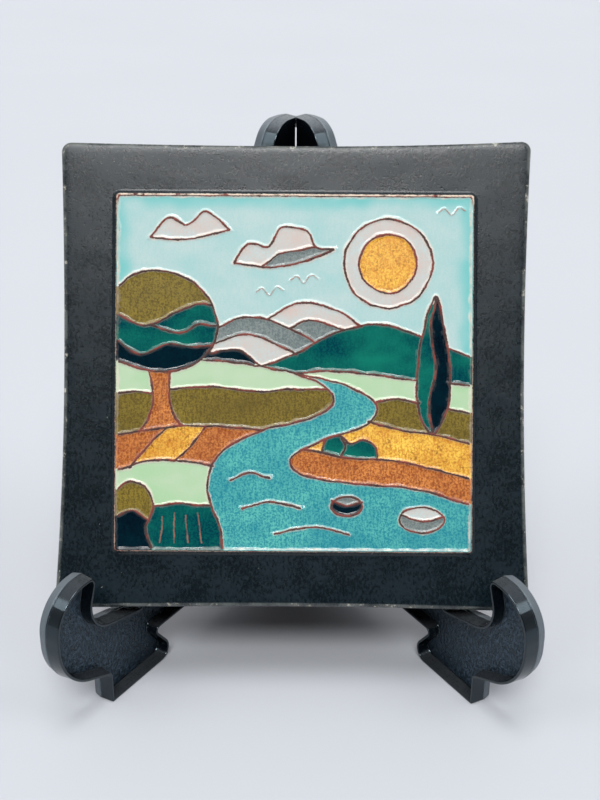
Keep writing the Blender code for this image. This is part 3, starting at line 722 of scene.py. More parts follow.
def label_cells(clay):
    """Which glaze each small square of the picture has: floods from the seeds, up to the clay lines."""
    size = round(2 * HALF_PICTURE / GRID_STEP) + 1
    wall = np.zeros((size, size), bool)
    for line in clay:
        spots = np.rint((line + HALF_PICTURE) / GRID_STEP).astype(int)
        for dx in (-1, 0, 1):
            for dy in (-1, 0, 1):
                wall[np.clip(spots[:, 0] + dx, 0, size - 1), np.clip(spots[:, 1] + dy, 0, size - 1)] = True
    labels = np.full((size, size), -1)
    scale = (PICTURE_SIZE / 2 - LINE_END_INSET) / HALF_PICTURE
    queue = deque()
    for index, name in enumerate(GLAZES):
        for seed in CELLS[name]:
            spot = tuple(round((value * scale + HALF_PICTURE) / GRID_STEP) for value in seed)
            labels[spot] = index
            queue.append(spot)
    flood(labels, wall, queue)
    flood(labels, np.zeros_like(wall), deque(zip(*np.nonzero(labels >= 0))))
    return labels


def flood(labels, wall, queue):
    """Spread the labels from the queue's squares to all that no wall shuts off."""
    size = len(labels)
    while queue:
        column, row = queue.popleft()
        for dx, dy in ((1, 0), (-1, 0), (0, 1), (0, -1)):
            x, y = column + dx, row + dy
            if 0 <= x < size and 0 <= y < size and labels[x, y] < 0 and not wall[x, y]:
                labels[x, y] = labels[column, row]
                queue.append((x, y))


class Surface:
    """What the relief and the glazes need to know at the points of the tile's front face."""

    def __init__(self, points, outline, clay_tree, stroke_tree):
        self.points = points
        self.inside = inside_panel(points)
        near = self.inside > -FAR
        self.clay = np.full(len(points), FAR)
        self.clay[near] = distances(points[near], clay_tree)
        self.clay /= 1 + LINE_SWELL * face_noise(points, "line width")
        self.stroke = np.full(len(points), FAR)
        self.stroke[near] = distances(points[near], stroke_tree)
        self.inset = inset_from(points, outline)

    def heights(self):
        """Height above the border's flat, in millimetres."""
        on_panel = smooth_step(self.inside, -PANEL_SLOPE, 0.0)
        uneven = 1 + LINE_UNEVENNESS * face_noise(self.points, "line height")
        line = LINE_HEIGHT * uneven * np.exp(-(self.clay / LINE_WIDTH) ** 2)
        stroke = STROKE_HEIGHT * np.exp(-(self.stroke / STROKE_WIDTH) ** 2)
        ripple = GLAZE_RIPPLE * face_noise(self.points, "glaze ripple")
        ripple *= smooth_step(self.clay, LINE_WIDTH, 4 * LINE_WIDTH)
        picture = (line + stroke + ripple) * smooth_step(self.inside, -PANEL_SLOPE, RIM_INSET / 2)
        share = np.clip((FRONT_EDGE_RADIUS + EDGE_DROP_WIDTH - self.inset) / EDGE_DROP_WIDTH, 0.0, 1.0)
        border = -EDGE_DROP * share ** 2
        ripple = BORDER_RIPPLE * face_noise(self.points, "border ripple")
        border += ripple * (1 - on_panel) * (1 - share)
        return border + PANEL_RISE * on_panel + picture

    def glazes(self, labels):
        """What the glazes need at each point, by name."""
        spots = np.clip(np.rint((self.points + HALF_PICTURE) / GRID_STEP).astype(int), 0, len(labels) - 1)
        which = labels[spots[:, 0], spots[:, 1]]
        recipes = list(GLAZES.values())
        first, second = (np.array([linear(recipe[part]) for recipe in recipes])[which] for part in (0, 1))
        broad, mottle, speckle, halo, rough = np.array([recipe[2:] for recipe in recipes])[which].T
        drift = DRIFT[0] + DRIFT[1] * face_noise(self.points, "broad drift")
        drift += DRIFT[2] * face_noise(self.points, "close drift")
        uneven = self.inside + SKY_RIM_WANDER * face_noise(self.points, "sky rim")
        at_rim = 1 - smooth_step(uneven, SKY_RIM_START, SKY_RIM_END)
        at_rim *= which == list(GLAZES).index("sky")
        share = np.clip(broad * drift + SKY_RIM_SHARE * at_rim, 0.0, 1.0)[:, None]
        return {"glaze": first * (1 - share) + second * share, "shade": second, "mottle": mottle,
                "speckle": speckle, "halo": halo, "rough": rough}


def edge_rings(outline):
    """Rings down the tile's side from the front face to the back face: points, height, and a share for real
    wear and painted highlight on the edge's rounding.
    """
    front_steps, side_steps, back_steps = EDGE_STEPS
    rings = []
    for step in range(front_steps + 1):
        angle = step / front_steps * math.pi / 2
        drop = FRONT_EDGE_RADIUS * (1 - math.cos(angle))
        # share of the pale edge band: real wear and painted highlight on the rounding
        edge_wear_and_highlight = math.exp(-((angle - ARRIS_ANGLE) / ARRIS_SPREAD) ** 2)
        rings.append((FRONT_EDGE_RADIUS * (1 - math.sin(angle)), -EDGE_DROP - drop, edge_wear_and_highlight))
    side_top = rings[-1][1]
    side_bottom = BACK_EDGE_RADIUS - TILE_THICKNESS
    for step in range(1, side_steps):
        rings.append((0.0, side_top + (side_bottom - side_top) * step / side_steps, 0.0))
    for step in range(back_steps + 1):
        angle = step / back_steps * math.pi / 2
        inset = BACK_EDGE_RADIUS * (1 - math.cos(angle))
        rings.append((inset, side_bottom - BACK_EDGE_RADIUS * math.sin(angle), math.sin(2 * angle) ** 2))
    normals = side_directions(outline)
    made = []
    for inset, height, edge_wear_and_highlight in rings:
        dents = np.zeros(len(outline))
        if inset == 0.0:
            dents = EDGE_DENT * np.abs(noise_at(outline, DENT_WIDTH, DENT_WIDTH, height / DENT_DEPTH))
        made.append((outline - normals * (inset + dents)[:, None], height, edge_wear_and_highlight))
    return made


def tile_matrix(outline):
    """The tile's axes in the frame, found from the solid's back face and lower edge, with its scale."""
    lean = Matrix.Rotation(math.pi / 2 - TILE_LEAN, 4, "X")
    solid = np.array([lean.inverted() @ vert.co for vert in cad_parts["tile"].data.vertices])
    low = solid.min(axis=0)
    high = solid.max(axis=0)
    middle_x = (low[0] + high[0]) / 2 - outline[:, 0].min() * MM / 2 - outline[:, 0].max() * MM / 2
    middle_y = (low[1] + high[1]) / 2 - outline[:, 1].min() * MM / 2 - outline[:, 1].max() * MM / 2
    place = Matrix.Translation((middle_x, middle_y, low[2] + TILE_THICKNESS * MM))
    return lean @ place @ Matrix.Scale(MM, 4)


def add_object(name, data):
    """A new object in the scene."""
    thing = bpy.data.objects.new(name, data)
    bpy.context.scene.collection.objects.link(thing)
    return thing


def store(mesh, name, values):
    """Store a number, vector or colour on each of a mesh's points."""
    values = np.asarray(values, np.float32).reshape(len(values), -1)
    kinds = {1: ("FLOAT", "value"), 3: ("FLOAT_VECTOR", "vector"), 4: ("FLOAT_COLOR", "color")}
    kind, field = kinds[values.shape[1]]
    mesh.attributes.new(name, kind, "POINT").data.foreach_set(field, values.ravel())


def store_looks(mesh, looks, layers, bare):
    """Store what the glazes need: on the front's points, the side's wear and painted edge highlight, and
    the back's bare clay.
    """
    count = len(mesh.vertices)
    for name, values in looks.items():
        filled = np.full((count, *values.shape[1:]), OFF_FRONT.get(name, 0.0))
        filled[:len(values)] = values
        store(mesh, name, filled)
    store(mesh, "edge_wear_and_highlight", np.concatenate([np.full(len(points), edge_wear_and_highlight) for points, height, edge_wear_and_highlight in layers]))
    filled = np.full(count, -FAR)
    filled[-len(bare):] = bare
    store(mesh, "bare", filled)


def join_layers(layers, front_faces, front_ring, back_faces, back_ring):
    """Points and faces of a closed body: a front face, the rings down its side and a back face."""
    starts = np.cumsum([0] + [len(points) for points, height, edge_wear_and_highlight in layers[:-1]])
    rings = [front_ring, *[range(len(front_ring))] * (len(layers) - 2), back_ring]
    rings = [start + np.array(ring) for start, ring in zip(starts, rings)]
    faces = [tuple(face) for face in front_faces]
    for upper, lower in zip(rings, rings[1:]):
        faces += zip(upper, lower, np.roll(lower, -1), np.roll(upper, -1))
    faces += [tuple(starts[-1] + index for index in reversed(face)) for face in back_faces]
    spots = []
    for points, height, edge_wear_and_highlight in layers:
        spots.append(np.column_stack((points, np.broadcast_to(height, len(points)))))
    return np.concatenate(spots), faces


def make_tile():
    """The whole tile as one closed mesh, with what its glazes need stored on its points."""
    outline = tile_outline()
    rings = edge_rings(outline)
    clay, strokes = picture_lines(LINE_STEP)
    dense_clay, dense_strokes = picture_lines(DENSE_STEP)
    clay_tree = tree_of(np.concatenate(dense_clay))
    stroke_tree = tree_of(np.concatenate(dense_strokes))

    front_ring = rings[0][0]
    points = face_points(front_ring, clay, strokes, clay_tree)
    front, front_faces, front_places = triangulate(front_ring, points)
    surface = Surface(front, outline, clay_tree, stroke_tree)

    back_ring = rings[-1][0]
    points = square_grid(PICTURE_SIZE, PICTURE_SIZE, BACK_STEP)
    points = points[inset_from(points, back_ring) > BACK_STEP / 2]
    back, back_faces, back_places = triangulate(back_ring, points)

    layers = [(front, surface.heights(), 0.0), *rings[1:-1], (back, -TILE_THICKNESS, 0.0)]
    spots, faces = join_layers(layers, front_faces, front_places, back_faces, back_places)
    matrix = tile_matrix(outline)
    turned = spots @ np.array(matrix.to_3x3()).T + np.array(matrix.translation)
    mesh = bpy.data.meshes.new("ceramic_tile")
    mesh.from_pydata(turned.tolist(), [], faces)
    mesh.shade_smooth()
    store(mesh, "place", spots)
    looks = {"clay": surface.clay, "stroke": surface.stroke, "inside": surface.inside}
    looks.update(surface.glazes(label_cells(dense_clay)))
    store_looks(mesh, looks, layers, inset_from(back, back_ring))
    print("tile mesh:", len(mesh.vertices), "points,", sum(len(face) - 2 for face in faces), "triangles")
    return add_object("ceramic_tile", mesh)


def edge_reach(height):
    """Reach of a half's front edge from the hinge line, on its inner face, at a height."""
    back_plane = SEAT_REACH - (height - SEAT_HEIGHT) * math.tan(TILE_LEAN)
    return (back_plane - REST_GAP / math.cos(TILE_LEAN)) / math.cos(HALF_ANGLE)


def saddle_height(reach):
    """Height of the saddle's floor at a reach."""
    contact = (SEAT_REACH + PARTING_DEPTH * math.sin(HALF_ANGLE)) / math.cos(HALF_ANGLE)
    return SEAT_HEIGHT - REST_GAP - DRAFT + (reach - contact) * math.tan(SADDLE_SLOPE)


def half_corners(back, top, cap_radius, back_radius):
    """Corners of a half on its inner face, clockwise from the floor at the back: reach, height, radius."""
    belly_drop = (HOOK_REACH - FOOT_FRONT) * math.tan(BELLY_SLOPE)
    heel_run = ARCH_HEIGHT * math.tan(HEEL_LEAN)
    slope = math.tan(TILE_LEAN) / math.cos(HALF_ANGLE)
    edge_foot = (edge_reach(0.0) - slope * saddle_height(0.0)) / (1 + slope * math.tan(SADDLE_SLOPE))
    return [
        (back, 0.0, FOOT_RADIUS),
        (back, top, back_radius),
        (edge_reach(top), top, cap_radius),
        (edge_foot, saddle_height(edge_foot), SADDLE_BACK_RADIUS),
        (SADDLE_FRONT, saddle_height(SADDLE_FRONT), SADDLE_RADIUS),
        (HOOK_TIP_REACH, HOOK_HEIGHT, HOOK_TIP_RADIUS),
        (HOOK_REACH, HOOK_HEIGHT, HOOK_TOP_RADIUS),
        (HOOK_REACH, FOOT_NECK_HEIGHT + belly_drop, BELLY_RADIUS),
        (FOOT_FRONT, FOOT_NECK_HEIGHT, NECK_RADIUS),
        (FOOT_FRONT, 0.0, FOOT_RADIUS),
        (HEEL_REACH, 0.0, HEEL_RADIUS),
        (HEEL_REACH + heel_run, ARCH_HEIGHT, NECK_RADIUS),
        (REAR_HEEL_REACH - heel_run, ARCH_HEIGHT, NECK_RADIUS),
        (REAR_HEEL_REACH, 0.0, HEEL_RADIUS),
    ]


def corner_turn(places, index):
    """Directions into and out of a corner, and the turn between them."""
    before = (places[index] - places[index - 1]).normalized()
    after = (places[(index + 1) % len(places)] - places[index]).normalized()
    turn = math.atan2(before.x * after.y - before.y * after.x, before.dot(after))
    return before, after, turn


def arc_pieces(corners):
    """How many straight pieces each rounded corner gets."""
    places = [Vector(corner[:2]) for corner in corners]
    pieces = []
    for index, corner in enumerate(corners):
        step = 2 * math.acos(1 - ARC_TOLERANCE / corner[2])
        pieces.append(max(3, math.ceil(abs(corner_turn(places, index)[2]) / step)))
    return pieces


def rounded_outline(corners, pieces, inset):
    """The clockwise outline with rounded corners and points along its straights, moved inwards by inset."""
    places = [Vector(corner[:2]) for corner in corners]
    arcs = []
    for index, corner in enumerate(corners):
        before, after, turn = corner_turn(places, index)
        inward = Vector((before.y, -before.x)) + Vector((after.y, -after.x))
        moved = places[index] + inward * (inset / (1 + before.dot(after)))
        side = math.copysign(1.0, turn)
        radius = max(corner[2] + side * inset, ARC_TOLERANCE)
        start = moved - before * radius * math.tan(abs(turn) / 2)
        middle = start + side * radius * Vector((-before.y, before.x))
        spoke = start - middle
        arc = [middle + Matrix.Rotation(turn * piece / pieces[index], 2) @ spoke
               for piece in range(pieces[index] + 1)]
        arcs.append(arc)
    outline = []
    for index, arc in enumerate(arcs):
        following = arcs[(index + 1) % len(arcs)][0]
        outline += arc + [arc[-1].lerp(following, share) for share in STRAIGHT_SHARES]
    return [(point.x, max(point.y, SKIN)) for point in outline]


def bend(start, corner, end):
    """A few steps of inset and depth that round a corner of the plate's section."""
    steps = []
    for piece in range(BEND_PIECES + 1):
        t = piece / BEND_PIECES
        shares = ((1 - t) ** 2, 2 * t * (1 - t), t ** 2)
        steps.append(tuple(
            shares[0] * a + shares[1] * b + shares[2] * c for a, b, c in zip(start, corner, end)
        ))
    return steps


def plate_section():
    """The plate's section from its outer face to its inner rim, then from there to the hollow's floor."""
    face = PLATE_THICKNESS - OUTER_TRIM
    near_outer = DRAFT / (face - EDGE_ROUND - PARTING_DEPTH) * 1.5
    near_inner = DRAFT / (PARTING_DEPTH - EDGE_ROUND)
    outer = bend((DRAFT + EDGE_ROUND, face), (DRAFT / 2, face), (DRAFT / 2, face - EDGE_ROUND))
    outer += [(-DRAFT + SUPPORT * near_outer, PARTING_DEPTH + SUPPORT), (-DRAFT, PARTING_DEPTH),
              (-DRAFT + SUPPORT * near_inner, PARTING_DEPTH - SUPPORT)]
    outer += bend((0.0, EDGE_ROUND), (0.0, 0.0), (EDGE_ROUND, 0.0))
    wall_foot = RECESS_DEPTH - FLOOR_FILLET
    inner = bend((RIM_WIDTH - HOLLOW_EDGE_ROUND, 0.0), (RIM_WIDTH, 0.0), (RIM_WIDTH, HOLLOW_EDGE_ROUND))
    inner += bend((RIM_WIDTH + RECESS_DRAFT, wall_foot), (RIM_WIDTH + RECESS_DRAFT, RECESS_DEPTH),
                  (RIM_WIDTH + RECESS_DRAFT + FLOOR_FILLET, RECESS_DEPTH))
    return outer, inner


def make_plate(side):
    """A half's plate in its own axes: X the reach, Y across the plate, Z up."""
    width_plane = (HINGE_WALL + HOLLOW_TOP_WIDTH) * math.cos(HALF_ANGLE) + REST_GAP / math.cos(TILE_LEAN)
    narrow = SEAT_HEIGHT + (SEAT_REACH - width_plane) / math.tan(TILE_LEAN)
    hollow_top = min(STAND_HEIGHT - CAP_DEPTH, narrow)
    full = half_corners(-BACK_OVERHANG, STAND_HEIGHT, CAP_RADIUS, BACK_RADIUS)
    hollow = half_corners(HINGE_WALL, hollow_top, 2 * NECK_RADIUS, NECK_RADIUS)
    pieces = arc_pieces(full)
    outer, inner = plate_section()
    shape = bmesh.new()
    rings = []
    for corners, section in ((full, outer), (hollow, inner)):
        for inset, depth in section:
            outline = rounded_outline(corners, pieces, inset + SKIN)
            rings.append([shape.verts.new((reach, side * depth, height)) for reach, height in outline])
    count = len(rings[0])
    for upper, lower in zip(rings, rings[1:]):
        for index in range(count):
            after = (index + 1) % count
            shape.faces.new((upper[index], upper[after], lower[after], lower[index]))
    shape.faces.new(rings[0])
    shape.faces.new(rings[-1])
    bmesh.ops.remove_doubles(shape, verts=shape.verts, dist=ARC_TOLERANCE / 4)
    bmesh.ops.recalc_face_normals(shape, faces=shape.faces)
    return shape


def upright_cylinder(radius, bottom, top):
    shape = bmesh.new()
    bmesh.ops.create_cone(shape, cap_ends=True, segments=KNUCKLE_SIDES, radius1=radius, radius2=radius,
                          depth=top - bottom)
    middle = (0.0, 0.0, (bottom + top) / 2)
    bmesh.ops.translate(shape, vec=middle, verts=shape.verts)
    return shape


def side_block(side, gap, bottom, top):
    """A block that takes away all that lies nearer to the middle plane than half the gap."""
    shape = bmesh.new()
    bmesh.ops.create_cube(shape, size=1.0)
    bmesh.ops.scale(shape, vec=(HOOK_REACH, 2 * HOOK_REACH, top - bottom), verts=shape.verts)
    middle = (side * (gap - HOOK_REACH) / 2, 0.0, (bottom + top) / 2)
    bmesh.ops.translate(shape, vec=middle, verts=shape.verts)
    return shape


def hinge_shapes(side):
    """What a half's hinges take from its plate and add to it: operation and shape, in turn."""
    below = -STAND_HEIGHT / 4
    stop = STAND_HEIGHT - STOP_HEIGHT
    steps = [("DIFFERENCE", side_block(side, MITRE_GAP, below, stop)),
             ("DIFFERENCE", side_block(side, STOP_GAP, stop - EDGE_ROUND, STAND_HEIGHT - below))]
    rooms = []
    pegs = []
    for height in HINGE_HEIGHTS:
        low = height - KNUCKLE_LENGTH / 2
        high = height + KNUCKLE_LENGTH / 2
        outer = [(low - HINGE_CLEARANCE - KNUCKLE_LENGTH, low - HINGE_CLEARANCE),
                 (high + HINGE_CLEARANCE, high + HINGE_CLEARANCE + KNUCKLE_LENGTH)]
        own, other = ([(low, high)], outer) if side > 0 else (outer, [(low, high)])
        steps += [("UNION", upright_cylinder(KNUCKLE_RADIUS, start, end)) for start, end in own]
        for start, end in other:
            rooms.append(upright_cylinder(KNUCKLE_RADIUS + HINGE_CLEARANCE, start - HINGE_CLEARANCE,
                                          end + HINGE_CLEARANCE))
        root = KNUCKLE_LENGTH / 10
        peg = (outer[0][1] - root, outer[1][0] + root)
        if side > 0:
            rooms.append(upright_cylinder(PEG_RADIUS + HINGE_CLEARANCE, *peg))
        else:
            pegs.append(upright_cylinder(PEG_RADIUS, *peg))
    steps += [("DIFFERENCE", room) for room in rooms]
    return steps + [("UNION", peg) for peg in pegs]


def object_of(name, shape):
    """A new object of a shape, which is freed."""
    mesh = bpy.data.meshes.new(name)
    shape.to_mesh(mesh)
    shape.free()
    return add_object(name, mesh)


def carry_out(half, steps):
    """Take shapes from an object or add them to it, in turn."""
    tools = []
    for operation, shape in steps:
        boolean = half.modifiers.new(operation.lower(), "BOOLEAN")
        boolean.operation = operation
        boolean.solver = "EXACT"
        boolean.object = object_of("tool", shape)
        tools.append(boolean.object)
    graph = bpy.context.evaluated_depsgraph_get()
    mesh = bpy.data.meshes.new_from_object(half.evaluated_get(graph))
    half.modifiers.clear()
    half.data = mesh
    for tool in tools:
        bpy.data.objects.remove(tool, do_unlink=True)


def make_half(name, side):
    """One half of the stand: side is 1 for the right, -1 for the left."""
    turn = Matrix.Rotation(side * HALF_ANGLE - math.pi / 2, 4, "Z")
    shape = make_plate(side)
    bmesh.ops.transform(shape, matrix=turn, verts=shape.verts)
    half = object_of(name, shape)
    carry_out(half, hinge_shapes(side))
    mesh = half.data
    spots = np.array([turn.inverted() @ vert.co for vert in mesh.vertices])
    spots[:, 1] *= side
    store(mesh, "place", spots)
    mesh.shade_smooth()
    mesh.set_sharp_from_angle(angle=SHARP_ANGLE)
    for face in mesh.polygons:
        if len(face.vertices) > 4:
            face.use_smooth = False
    front_reach = HOOK_REACH * math.cos(HALF_ANGLE) - EDGE_ROUND * math.sin(HALF_ANGLE)
    back_reach = ((BACK_OVERHANG - DRAFT / 2) * math.cos(HALF_ANGLE)
                  + (PLATE_THICKNESS - EDGE_ROUND) * math.sin(HALF_ANGLE))
    hinge = Matrix.Translation((0.0, (front_reach - back_reach) / 2 * MM, 0.0))
    mesh.transform(hinge @ Matrix.Scale(MM, 4))
    print(name, "mesh:", len(mesh.vertices), "points,", len(mesh.polygons), "faces")
    return half


class Nodes:
    """Short calls that add and link the nodes of a material or a world."""

    def __init__(self, owner, shader="Principled BSDF"):
        owner.use_nodes = True
        self.owner = owner
        self.tree = owner.node_tree
        self.shader = self.tree.nodes[shader]
        self.patterns = {}

    def fill(self, node, inputs):
        """Link or set a node's inputs; a colour of three numbers is a screen colour."""
        for name, value in inputs.items():
            socket = node.inputs[name]
            if isinstance(value, bpy.types.NodeSocket):
                self.tree.links.new(value, socket)
            elif socket.type == "RGBA" and len(value) == 3:
                socket.default_value = linear(value)
            else:
                socket.default_value = value

    def add(self, kind, inputs, output, **settings):
        """One output of a new node."""
        node = self.tree.nodes.new(kind)
        for name, value in settings.items():
            setattr(node, name, value)
        self.fill(node, inputs)
        return node.outputs[output]

    def attribute(self, name, output="Fac"):
        return self.add("ShaderNodeAttribute", {}, output, attribute_name=name)

    def axis(self, vector, name):
        return self.add("ShaderNodeSeparateXYZ", {0: vector}, name)

    def vectors(self, operation, first, second, output="Vector"):
        return self.add("ShaderNodeVectorMath", {0: first, 1: second}, output, operation=operation)

    def math(self, operation, first, second=0.0):
        return self.add("ShaderNodeMath", {0: first, 1: second}, 0, operation=operation)

    def times(self, first, second):
        return self.math("MULTIPLY", first, second)

    def larger(self, first, second):
        return self.math("MAXIMUM", first, second)

    def less(self, first, second):
        return self.math("SUBTRACT", first, second)

    def plus(self, first, second, share):
        """The first number and a share of the second."""
        return self.math("ADD", first, self.times(second, share))

    def between(self, value, low, high, start=0.0, end=1.0):
        """A soft rise from start at low to end at high."""
        inputs = {"Value": value, "From Min": low, "From Max": high, "To Min": start, "To Max": end}
        return self.add("ShaderNodeMapRange", inputs, "Result", interpolation_type="SMOOTHSTEP")

    def step(self, name, value):
        return self.between(value, *STEPS[name])

    # A mix node's sockets have the same names for numbers and colours, so they go by their places
    def mix(self, share, first, second):
        """A colour between first and second."""
        return self.add("ShaderNodeMix", {0: share, 6: first, 7: second}, 2, data_type="RGBA")

    def blend(self, share, first, second):
        """A number between first and second."""
        return self.add("ShaderNodeMix", {0: share, 2: first, 3: second}, 0, data_type="FLOAT")

    def noise(self, vector, scale, detail, roughness=0.55, distortion=0.0):
        """Soft noise of 0 to 1, with one scale or one for each axis."""
        if isinstance(scale, tuple):
            vector = self.vectors("MULTIPLY", vector, scale)
            scale = 1.0
        inputs = {"Vector": vector, "Scale": scale, "Detail": detail, "Roughness": roughness,
                  "Distortion": distortion}
        return self.add("ShaderNodeTexNoise", inputs, "Fac")

    def pattern(self, name):
        """The named noise at the places that the piece stores."""
        if name not in self.patterns:
            self.patterns[name] = self.noise(self.attribute("place", "Vector"), *PATTERNS[name])
        return self.patterns[name]

    def wandering(self, name, amount):
        """A distance that the piece stores, with a small wander."""
        return self.plus(self.attribute(name), self.less(self.pattern("wander"), 0.5), amount)

    def bump(self, height, distance, strength=1.0):
        inputs = {"Height": height, "Distance": distance, "Strength": strength}
        return self.add("ShaderNodeBump", inputs, "Normal")

    def finish(self, inputs):
        self.fill(self.shader, inputs)
        return self.owner


def glaze_colour(n):
    """The glazes of the cells: mottled, flecked, and thin and pale beside the clay lines."""
    shade = n.attribute("shade", "Color")
    patches = n.plus(n.times(n.pattern("grains"), 0.65), n.pattern("runs"), 0.35)
    patch = n.times(n.attribute("mottle"), n.step("mottled", patches))
    colour = n.mix(patch, n.attribute("glaze", "Color"), shade)
    fleck = n.times(n.step("flecked", n.pattern("flecks")), n.step("gathered", n.pattern("broad")))
    fleck = n.times(n.attribute("speckle"), fleck)
    colour = n.mix(n.times(fleck, 0.75), colour, n.mix(0.6, shade, FLECK_DARK))
    halo = n.attribute("halo")
    end = n.math("ADD", n.times(halo, HALO_SPREAD), HALO_END)
    share = n.between(n.wandering("clay", 0.9), HALO_START, end, 1.0, 0.0)
    share = n.times(share, n.step("haloed glaze", halo))
    share = n.times(share, n.step("inside the rim", n.attribute("inside")))
    share = n.times(share, n.step("halo patches", n.pattern("broad")))
    return n.mix(share, colour, HALO)


def bare_lines(n):
    """How much bare clay shows on the lines and the rim, and its colour, with a wide pale band of painted
    highlight along the rim's top.
    """
    height = n.axis(n.attribute("place", "Vector"), "Y")
    # the rim's top is left bare, wider and pale: painted highlight on its upward-facing slope
    lit_rim_top = n.between(height, *(PICTURE_SIZE / 2 - inset for inset in LIT_RIM_TOP))
    glazed_rim = n.times(n.step("glazed rim", n.attribute("inside")), n.less(1.0, lit_rim_top))
    share = n.times(n.step("bare line", n.wandering("clay", 0.7)), n.less(1.0, glazed_rim))
    rim = n.step("bare rim", n.less(n.wandering("inside", 0.7), n.blend(lit_rim_top, *RIM_WIDTHS)))
    colour = n.mix(n.step("light clay", n.pattern("broad")), CLAY_DARK, CLAY_LIGHT)
    pale = n.blend(rim, PALE_AND_LIT_SHARES[0], n.blend(lit_rim_top, *PALE_AND_LIT_SHARES[1:]))
    pale = n.times(pale, n.step("pale clay", n.pattern("pale clay")))
    return n.larger(share, rim), n.mix(pale, colour, CLAY_PALE_AND_HIGHLIGHT)


def border_colour(n):
    """The dark border glaze, brushed and cloudy, paler round the edges from worn thin glaze and painted
    highlight, with worn spots and a few nicks.
    """
    clouds = n.pattern("clouds")
    brushed = n.plus(n.times(n.pattern("brushed"), 0.65), clouds, 0.35)
    colour = n.mix(n.step("light border", brushed), BORDER_DARK, BORDER_LIGHT)
    edge_wear_and_highlight = n.attribute("edge_wear_and_highlight")
    # pale band round the edge's rounding: partly worn thin glaze, partly painted highlight
    colour = n.mix(n.times(edge_wear_and_highlight, n.step("worn and lit edge", clouds)), colour, ARRIS_WEAR_AND_HIGHLIGHT)
    worn = n.times(edge_wear_and_highlight, n.step("worn", n.pattern("worn")))
    nicks = n.step("nicked", n.pattern("nicks"))
    return n.mix(n.times(n.larger(worn, nicks), 0.7), colour, WORN)


def tile_material():
    """Border glaze, bare clay and the picture's glazes, from what the tile's points store."""
    n = Nodes(bpy.data.materials.new("tile ceramic"))
    line_share, line_colour = bare_lines(n)
    colour = n.mix(line_share, glaze_colour(n), line_colour)
    gaps = n.step("stroke gaps", n.pattern("stroke gaps"))
    colour = n.mix(n.times(n.step("stroke", n.wandering("stroke", 0.6)), gaps), colour, STROKE_CLAY)
    border_share = n.step("border", n.wandering("inside", 0.9))
    colour = n.mix(border_share, colour, border_colour(n))
    bare_share = n.step("bare back", n.plus(n.attribute("bare"), n.pattern("bare edge"), 5.0))
    back_colour = n.mix(n.step("pale back", n.pattern("back clay")), BACK_CLAY, BACK_CLAY_PALE)
    colour = n.mix(bare_share, colour, back_colour)

    rough = n.attribute("rough")
    brushed = n.pattern("brushed")
    beside_line = n.step("beside a line", n.attribute("clay"))
    roughness = n.blend(beside_line, rough, n.step("thin roughness", n.pattern("thin glaze")))
    roughness = n.blend(line_share, roughness, CLAY_ROUGHNESS)
    satin = n.plus(n.times(brushed, 0.6), n.pattern("clouds"), 0.4)
    roughness = n.blend(border_share, roughness, n.step("border roughness", satin))
    roughness = n.blend(bare_share, roughness, BACK_ROUGHNESS)
    depth = n.blend(border_share, n.times(rough, 0.6), 0.6)
    grain = n.times(n.plus(n.pattern("fine grain"), brushed, 0.6), depth)
    return n.finish({"Base Color": colour, "Roughness": roughness, "Normal": n.bump(grain, GLAZE_GRAIN)})


def plastic_material():
    """Black moulded plastic: glossy inner edges, satin outer ones, and pebbled broad faces, with painted
    highlight on the pebble tops that fades to painted shade towards the heel, painted light on upward faces
    high up, and dust specks.
    """
    n = Nodes(bpy.data.materials.new("black plastic"))
    reach, depth, height = (n.axis(n.attribute("place", "Vector"), name) for name in "XYZ")
    upwards = n.axis(n.add("ShaderNodeNewGeometry", {}, "Normal"), "Z")
    pebbles = n.pattern("pebbles")
    specks = n.pattern("specks")
    waves = n.pattern("waves")
    face = PLATE_THICKNESS - OUTER_TRIM
    on_floor = n.step("recess floor", n.math("ABSOLUTE", n.less(depth, RECESS_DEPTH)))
    broad = n.larger(on_floor, n.between(depth, face - 0.06, face - 0.01))
    ragged = n.plus(depth, n.less(waves, 0.5), 1.5)
    outer = n.between(ragged, SATIN_DEPTH - 0.1, SATIN_DEPTH + 0.1)

    # painted highlight on the pebble tops, fading to painted shade towards the heel, under the tile
    pebble_highlight = n.times(n.step("lit pebble tops", pebbles), n.step("lit towards the front", reach))
    colour = n.mix(outer, PLASTIC, PLASTIC_OUTER)
    colour = n.mix(broad, colour, n.mix(pebble_highlight, PLASTIC_GRAIN, PLASTIC_PEBBLE_HIGHLIGHT))
    # painted light on upward-facing faces high on the stand, in patches, plus small dust specks all over
    top_light_and_dust = n.times(n.step("lit top height", height), n.step("facing up", upwards))
    top_light_and_dust = n.times(top_light_and_dust, n.step("top light patches", specks))
    colour = n.mix(n.larger(top_light_and_dust, n.step("dust specks", specks)), colour, PLASTIC_TOP_LIGHT_AND_DUST)
    glossy = n.step("gloss roughness", n.pattern("gloss"))
    roughness = n.blend(outer, glossy, n.step("satin roughness", pebbles))
    roughness = n.blend(broad, roughness, n.step("pebble roughness", pebbles))
    grain = n.times(pebbles, n.larger(n.times(broad, 4.5), outer))
    bump = n.bump(n.plus(grain, waves, 0.35), PLASTIC_GRAIN_HEIGHT)
    return n.finish({"Base Color": colour, "Roughness": roughness, "Normal": bump,
                     "Specular IOR Level": PLASTIC_SPECULAR, "Specular Tint": PLASTIC_SHEEN})


